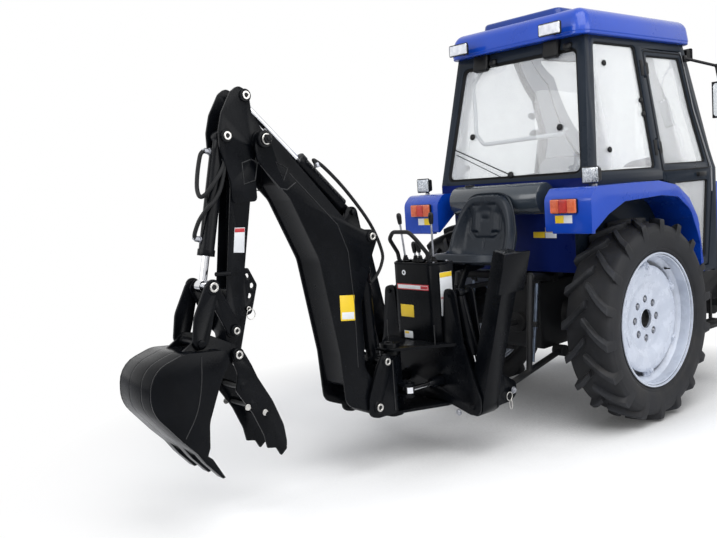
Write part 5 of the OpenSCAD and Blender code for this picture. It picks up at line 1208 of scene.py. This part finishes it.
for s, word in ((1, "left"), (-1, "right")):
    door_skin = lined(eased(word + "_door", 0.004))
    for face in door_skin.polygons:
        x, y, z = (face.center.x - axle_x) * 1000, abs(face.center.y) * 1000, face.center.z * 1000
        if y > 540 and 812 < x < 908 and 1350 < z < 1380:
            door_skin.materials[2] = knob_plastic
            face.material_index = 2
    straps = [of_kind(plate("door_strap", [(x, h - 40), (x + 34, h - 34), (x + 32, h + 34), (x - 4, h + 40)], 0.006,
                            lambda a, b, d, s=s: flank(s, a, b, -6 + d * 1000), bevel=0.002), knob_plastic)
              for x, h in ((398, 145), (356, 620))]
    put(word + "_cab_door", word + "_door", "slate_paint",
        [door_skin] + straps + [seal([flank(s, x, h, -17) for x, h in upper_pane], 0.009, 0.02, 10),
                                seal([at(x, s * 528, z) for x, z in lower_pane], 0.009, 0.02, 10),
                                seal([flank(s, x, h, -4) for x, h in
                                      [(412, 2), (986, 2), (858, 378), (787, 722), (348, 722)]], 0.0045, 0.02)],
        slate_enamel, replaced=(word + "_door",))


# ---- Window glass.
# Toughened panes 5 mm thick, clear with a faint cool tint and a light film of dust.
window_glass, tree = bare_material("window_glass")
window_glass.diffuse_color = (0.85, 0.9, 0.92, 0.3)
spot = place(tree, "ShaderNodeTexCoord")
film = place(tree, "ShaderNodeTexNoise", Vector=spot.outputs["Object"], Scale=2.2, Detail=6.0, Roughness=0.7)
veil = ramp(tree, film.outputs["Fac"], 0.3, 0.7, 0.15, 0.24)
clear = place(tree, "ShaderNodeBsdfPrincipled", Base_Color=(0.97, 0.985, 0.99, 1), Roughness=0.0, Metallic=0.0,
              IOR=1.45, Transmission_Weight=1.0)
dusty = place(tree, "ShaderNodeBsdfDiffuse", Color=(1.0, 1.0, 1.0, 1))
pane_ = place(tree, "ShaderNodeMixShader", i0=veil, i1=clear, i2=dusty)
path_ = place(tree, "ShaderNodeLightPath")
soft_ray = maths(tree, "MAXIMUM", path_.outputs["Is Shadow Ray"], path_.outputs["Is Diffuse Ray"])
open_ = place(tree, "ShaderNodeBsdfTransparent", Color=(0.90, 0.92, 0.93, 1))
both_ = place(tree, "ShaderNodeMixShader", i0=soft_ray, i1=pane_, i2=open_)
place(tree, "ShaderNodeOutputMaterial", Surface=both_)
for word in ("cab", "left_door", "right_door"):
    made_good(word + "_glass", word + "_panes", window_glass, 0.001)


# ---- Lamps and mirrors.
# Moulded black housings with a ribbed clear lens over a bright reflector, on bent steel brackets. The tail
# lamps are red and amber segments on the fenders' rear faces. The mirrors are black shells with a glass face.
lamp_lens = finish("lamp_lens", (0.80, 0.82, 0.86, 1), (0.60, 0.62, 0.68, 1), 0.06, 0.16, 160, 0.0006, metal=0.25,
                   coat=1.0, coat_rough=0.03, dust=0.05, rub=0.0, radius=0.001, patch=26.0, spec=0.5)
bowl_chrome = finish("bowl_chrome", (0.74, 0.77, 0.82, 1), (0.42, 0.46, 0.52, 1), 0.08, 0.2, 90, 0.0012, metal=0.85,
                     coat=1.0, dust=0.05, rub=0.0, radius=0.001, patch=40.0)
tail_red = finish("tail_red", (0.62, 0.045, 0.030, 1), (0.42, 0.022, 0.018, 1), 0.10, 0.2, 240, 0.0004, coat=1.0,
                  dust=0.05, rub=0.0, radius=0.001, patch=30.0, spec=0.5)
tail_amber = finish("tail_amber", (0.80, 0.20, 0.07, 1), (0.62, 0.12, 0.04, 1), 0.10, 0.2, 240, 0.0004, coat=1.0,
                    dust=0.05, rub=0.0, radius=0.001, patch=30.0, spec=0.5)
mirror_face = finish("mirror_face", (0.80, 0.82, 0.84, 1), (0.78, 0.80, 0.82, 1), 0.02, 0.04, 900, 0.0, metal=1.0,
                     dust=0.06, rub=0.0, radius=0.001)


def facing(mesh, spot, way):
    """Turns a part made facing +Z to face another way, at a place."""
    way = Vector(way).normalized()
    across_ = Vector((0, 0, 1)).cross(way).normalized()
    turn_ = Matrix((across_, way.cross(across_), way)).transposed().to_4x4()
    turn_.translation = spot
    return moved(mesh, turn_)


def block_of(name, half_a, half_b, low, high, corner, edge, material, crown=0.0, draw=0.0):
    """A rounded block round the Z axis, from its half sizes."""
    return of_kind(rounded_box(name, Vector((-half_a, -half_b, low)), Vector((half_a, half_b, high)), corner, edge,
                               crown=crown, draw=draw, foot=0.002), material)


def work_lamp(centre, way, half_a, half_b, deep, face_kind):
    """A housing whose face lies at centre, with its rim and ribbed lens."""
    way = Vector(way)
    parts = [facing(block_of("housing", half_a - 0.005, half_b - 0.005, 0.0, deep - 0.004, 0.012, 0.012, knob_plastic,
                             draw=0.004), centre, -way),
             facing(block_of("rim", half_a, half_b, -0.012, -0.002, 0.010, 0.002, knob_plastic), centre, way),
             facing(block_of("lens", half_a - 0.0045, half_b - 0.0045, -0.010, 0.0, 0.008, 0.003, face_kind,
                             crown=0.0008), centre, way)]
    across_ = Vector((0, 0, 1)).cross(way).normalized()
    ribs = [[centre + across_ * (half_a - 0.010) * (k / 4 - 1) + Vector((0, 0, end * (half_b - 0.010))) + way * 0.0002
             for end in (-1, 1)] for k in range(9)]
    return parts + [drawn(ribs, 0.0009, face_kind, sides=5)]


lamps = []
LAMP_Y, TAIL_Y, TAIL_Z = 337, 531, 1257
rearward = Vector((-1, 0, 0))
for s in (-1, 1):
    lamps += work_lamp(at(-380, s * LAMP_Y, 2221), rearward, 0.075, 0.035, 0.036, lamp_lens)
    lamps += work_lamp(at(930, s * 405, 2125), -rearward, 0.075, 0.040, 0.055, lamp_lens)
    lamps += work_lamp(at(-470, s * 620, 1411), rearward, 0.053, 0.045, 0.052, bowl_chrome)
    lamps += [drawn([[at(-348, s * LAMP_Y, 2240), at(-322, s * LAMP_Y, 2232), at(-301, s * LAMP_Y, 2216)],
                     [at(-346, s * 322, 2206), at(-304, s * 322, 2200)],
                     [at(-346, s * 352, 2206), at(-304, s * 352, 2200)]], 0.006, knob_plastic, sides=10),
              fitted(hex_bolt("lamp_bolt", 0.014, 0.008), zinc_bolt, [(at(-340, s * 362, 2222), (0, s, 0), 1.0)]),
              drawn([[at(885, s * 405, 2160), at(885, s * 405, 2179)]], 0.009, knob_plastic, sides=12),
              drawn([[at(-430, s * 620, 1353), at(-430, s * 620, 1370)]], 0.010, knob_plastic, sides=14),
              fitted(hex_bolt("stalk_nut", 0.024, 0.010), zinc_bolt, [(at(-430, s * 620, 1354), (0, 0, 1), 1.0)]),
              facing(block_of("tail_base", 0.081, 0.039, -0.0248, -0.010, 0.010, 0.003, knob_plastic),
                     at(-600, s * TAIL_Y, TAIL_Z), rearward),
              drawn([[at(-600.4, s * (TAIL_Y + k * 6.2), z) for z in (1226, 1288)] for k in range(-11, 12)], 0.0009,
                    tail_red, sides=5)]
    for kind, wide, middle in ((tail_amber, 0.0265, -52), (tail_red, 0.0262, 1.2), (tail_amber, 0.0260, 54)):
        lamps.append(facing(block_of("segment", wide, 0.036, -0.014, 0.0, 0.006, 0.004, kind, crown=0.0005),
                            at(-600.2, s * (TAIL_Y + middle), TAIL_Z), rearward))
put("lamp_set", "root", "lamp", lamps, knob_plastic, replaced=("lamps",))
glasses = [facing(block_of("mirror_glass", 0.056, (high_z - low_z) / 2000 - 0.009, -0.002, 0.0006, 0.022, 0.0012,
                           mirror_face), at(899, y, (low_z + high_z) / 2), rearward)
           for y, low_z, high_z in ((676, 1812, 2050), (-676, 1708, 1932))]
made_good("mirrors", "mirror_shells", knob_plastic, 0.012, glasses, segments=4)


# ---- Dash, steering wheel and the driver's seat.
# The dash is one grained black moulding and its wheel has a soft rim. The seat is foam under grey vinyl
# on a black base, with piping round each cushion and a blank label on its back.
def pillow(name, place_of, length, half_of, top_of, under_of, exponent, rings=26, around=104):
    """A closed cushion on a rounded outline, and its rim; place_of turns (along, across, height) into a place."""
    work = bmesh.new()

    def spot_of(ring, k):
        r = math.sin(math.pi / 2 * ring / rings) ** 1.15
        a = math.tau * k / around
        c, d = math.cos(a), math.sin(a)
        along = length / 2 * (1 + r * math.copysign(abs(c) ** (2 / exponent), c))
        return along, half_of(along) * r * math.copysign(abs(d) ** (2 / exponent), d), r

    middle_top = work.verts.new(place_of(length / 2, 0.0, top_of(length / 2, 0.0, 0.0)))
    middle_low = work.verts.new(place_of(length / 2, 0.0, under_of(length / 2, 0.0, 0.0)))
    upper, lower = [], []
    for ring in range(1, rings + 1):
        spots = [spot_of(ring, k) for k in range(around)]
        upper.append([work.verts.new(place_of(a, b, top_of(a, b, r))) for a, b, r in spots])
        lower.append(upper[-1] if ring == rings else
                     [work.verts.new(place_of(a, b, under_of(a, b, r))) for a, b, r in spots])
    for loops, middle, flip in ((upper, middle_top, False), (lower, middle_low, True)):
        for k in range(around):
            j = (k + 1) % around
            tri = (middle, loops[0][k], loops[0][j])
            work.faces.new(tuple(reversed(tri)) if flip else tri)
            for a, b in zip(loops, loops[1:]):
                quad = (a[k], b[k], b[j], a[j])
                work.faces.new(tuple(reversed(quad)) if flip else quad)
    rim = [Vector(place_of(a, b, top_of(a, b, r))) for a, b, r in (spot_of(rings, k) for k in range(around))]
    return mesh_from(work, name, outward=True), rim


def plumped(mesh, held, pressure, cap, steps=20):
    """Blows the cushion up as cloth under pressure with its seams held, caps the swelling and smooths it."""
    carrier = linked("cushion", mesh)
    before = [v.co.copy() for v in mesh.vertices]
    pins = carrier.vertex_groups.new(name="held")
    for v in mesh.vertices:
        pins.add([v.index], held(v.co), "REPLACE")
    cloth = carrier.modifiers.new("cloth", "CLOTH")
    cloth.settings.quality = 6
    cloth.settings.mass = 0.3
    cloth.settings.tension_stiffness = cloth.settings.compression_stiffness = 18
    cloth.settings.bending_stiffness = 2.0
    cloth.settings.use_pressure = True
    cloth.settings.uniform_pressure_force = pressure
    cloth.settings.vertex_group_mass = "held"
    cloth.settings.effector_weights.gravity = 0
    cloth.point_cache.frame_start, cloth.point_cache.frame_end = 1, steps
    for moment in range(1, steps + 1):
        bpy.context.scene.frame_set(moment)
    for v, b, blown in zip(mesh.vertices, before, evaluated(carrier).vertices):
        move = blown.co - b
        v.co = b + (move if move.length < cap else move.normalized() * cap)
    carrier.modifiers.clear()
    bpy.context.scene.frame_set(1)
    finer = carrier.modifiers.new("finer", "SUBSURF")
    finer.levels = finer.render_levels = 1
    made = evaluated(carrier)
    bpy.data.objects.remove(carrier)
    softly(made, 75)
    return made


seat_vinyl = finish("seat_vinyl", (0.105, 0.118, 0.140, 1), (0.085, 0.097, 0.118, 1), 0.36, 0.5, 520, 0.0006,
                    dust=0.05, rub=0.0, radius=0.002, patch=8.0, spec=0.35)
made_good("dash", "dash_and_wheel", knob_plastic, 0.004)
back_way, back_out = Vector((-0.128, 0, 0.9918)), Vector((0.9918, 0, 0.128))


def pan_at(a, b, h):
    return at(78 + a * 1000, b * 1000, 1108 + h * 1000)


def back_at(a, b, h):
    return at(62, 0, 1138) + back_way * a + Vector((0, b, 0)) + back_out * h


def swell(high):
    return lambda a, b, r: high * max(0.0, 1 - r ** 5) ** 0.5


def held_near(line, near, elsewhere):
    """How firmly a point is held: fully near the seam line."""
    return lambda co: 1.0 if min((co - p).length for p in line) < near else elsewhere


for word, place_of, long, half_of, thick in (
        ("pan", pan_at, 0.395, lambda a: 0.188 - 0.020 * (a / 0.395) ** 3, 0.040),
        ("back", back_at, 0.448, lambda a: 0.190 - 0.045 * max(0.0, a / 0.448 - 0.35) ** 1.6, 0.046)):
    cushion, rim = pillow("driver_" + word, place_of, long, half_of, swell(thick), swell(-thick), 5.5)
    piping = drawn([rim[::2]], 0.0042, knob_plastic, closed=True, sides=8)
    cushion = plumped(cushion, held_near(rim[::4], 0.022, 0.0), 4.0, 0.010)
    put("driver_seat_" + word, "root", "vinyl", [cushion, piping], seat_vinyl)
stand = rounded_box("stand", at(52, -142, 901), at(322, 142, 1066), 0.03, 0.012, draw=0.02)
folds = []
for k in range(6):
    inset, level = 2 * (k % 2), 920 + k * 22
    folds.append(rounded_box("fold", at(46 + inset, -148 + inset, level), at(328 - inset, 148 - inset, level + 16),
                             0.03, 0.007, foot=0.006))
back_hinges = [drawn([[at(60, s * 170, 1100), at(40, s * 176, 1180)]], 0.012, knob_plastic, sides=12)
               for s in (-1, 1)]
tag = of_kind(plate("label", [(0.30, 0.020), (0.30, 0.105), (0.345, 0.105), (0.345, 0.020)], 0.001,
                    lambda a, b, d: back_at(a, b, -0.0572 - d), bevel=0), paper_white)
put("driver_seat_base", "root", "plastic", [stand] + folds + back_hinges + [tag], knob_plastic,
    replaced=("driver_seat",))


# ---- Operator's seat: black vinyl over foam on a steel bowl.
# A one-piece bowl with a rolled, piped rim. Its back has two upright ribs between pressed slots, and
# the cover is drawn down into creases where the pan meets the back.
black_vinyl = finish("black_vinyl", (0.0100, 0.0150, 0.0230, 1), (0.0065, 0.0105, 0.0170, 1), 0.24, 0.38, 480, 0.0006,
                     dust=0.0, rub=0.0, radius=0.002, patch=7.0, spec=0.24)
seat_line = smooth_line([(-903, 1010), (-850, 1009), (-780, 1001), (-715, 996), (-668, 1012), (-642, 1054),
                         (-626, 1120), (-611, 1220), (-596, 1349)], 10)
reach = [0.0]
for p, q in zip(seat_line, seat_line[1:]):
    reach.append(reach[-1] + math.dist(p, q) / 1000)
seat_long = reach[-1]


def bowl_at(a, b, h):
    """A place by the bowl's line: along it, sideways and above it, in metres."""
    a, last = max(0.0, min(seat_long - 1e-6, a)), len(seat_line) - 1
    i = next(k for k in range(last) if reach[k + 1] > a or k == last - 1)
    t = (a - reach[i]) / (reach[i + 1] - reach[i])
    before, p, q, after = (Vector(seat_line[max(0, min(k, last))]) for k in range(i - 1, i + 3))
    way = ((q - before).normalized() * (1 - t) + (after - p).normalized() * t).normalized()
    return at(p.x + (q.x - p.x) * t - way.y * h * 1000, b * 1000, p.y + (q.y - p.y) * t + way.x * h * 1000)


def bell(value, wide):
    return math.exp(-(value / wide) ** 2)


def step(value, low_, high_):
    t = max(0.0, min(1.0, (value - low_) / (high_ - low_)))
    return t * t * (3 - 2 * t)


def cover(a, b, r):
    """Height of the cover over the bowl's line: rolled rim, dish, ribs, slots and creases."""
    height_ = -0.016 + 0.030 * step(abs(r), 0.62, 0.86) * (1 - 0.4 * step(a, 0.40, 0.60))
    height_ += 0.022 * step(abs(b), 0.12, 0.22) * bell(a - 0.30, 0.12)
    height_ -= 0.040 * step(r, 0.90, 1.0) ** 1.6
    a_back, band = a - 0.435, 1 - step(r, 0.70, 0.84)
    ring_ = max(abs(b) / 0.112, abs(a_back) / 0.105, (abs(b) / 0.112 + abs(a_back) / 0.105) * 0.62)
    height_ -= 0.0075 * bell(ring_ - 1.0, 0.075) * band
    height_ += 0.0085 * bell(abs(b) - 0.066, 0.018) * step(a_back, -0.085, -0.060) * (1 - step(a_back, 0.050, 0.075))
    for slot_a, low_b, high_b in ((0.083, 0.030, 0.085), (0.004, -1.0, 0.026), (-0.072, 0.052, 0.090)):
        height_ -= 0.010 * bell(a_back - slot_a, 0.0065) * step(abs(b), low_b - 0.006, low_b + 0.004) * (
            1 - step(abs(b), high_b - 0.006, high_b + 0.006))
    height_ += 0.0055 * bell(a_back - 0.035, 0.014) * (1 - step(abs(b), 0.018, 0.034))
    height_ -= 0.006 * bell(b, 0.006) * step(a, 0.255, 0.275) * (1 - step(a, 0.315, 0.335))
    for tilt_ in (-1, 1):
        height_ -= 0.0040 * bell(a - 0.232 - 0.10 * abs(b) + 0.012 * tilt_, 0.006) * step(abs(b), 0.03, 0.09) * band
    height_ -= 0.004 * bell(a - 0.118, 0.007) * (1 - step(abs(b), 0.11, 0.15))
    return height_


cushion, rim = pillow("operator_seat_cover", bowl_at, seat_long, lambda a: 0.233 - 0.052 * step(a, 0.30, seat_long),
                      cover, lambda a, b, r: -0.046 + 0.020 * r ** 8, 4.2, rings=46, around=190)
piping = drawn([rim[::2]], 0.0050, black_vinyl, closed=True, sides=10)
cushion = plumped(cushion, held_near(rim[::5], 0.020, 0.55), 2.0, 0.004, 10)
posts = [plate("seat_post", [(-1015, 612), (-1015, 698), (-850, 962), (-655, 962), (-704, 930), (-826, 921)], 0.010,
               lambda a, b, d, s=s: at(a, s * (49 + d * 1000), b)) for s in (-1, 1)]
put("operator_seat_cushion", "root", "vinyl", [cushion, piping], black_vinyl)
feet = [rounded_box("rail", at(-850, s * 56 - 9, 955), at(-655, s * 56 + 9, 969), 0.004, 0.003) for s in (-1, 1)]
put("operator_seat_mount", "root", "black_paint", posts + feet, black_enamel, replaced=("operator_seat",))
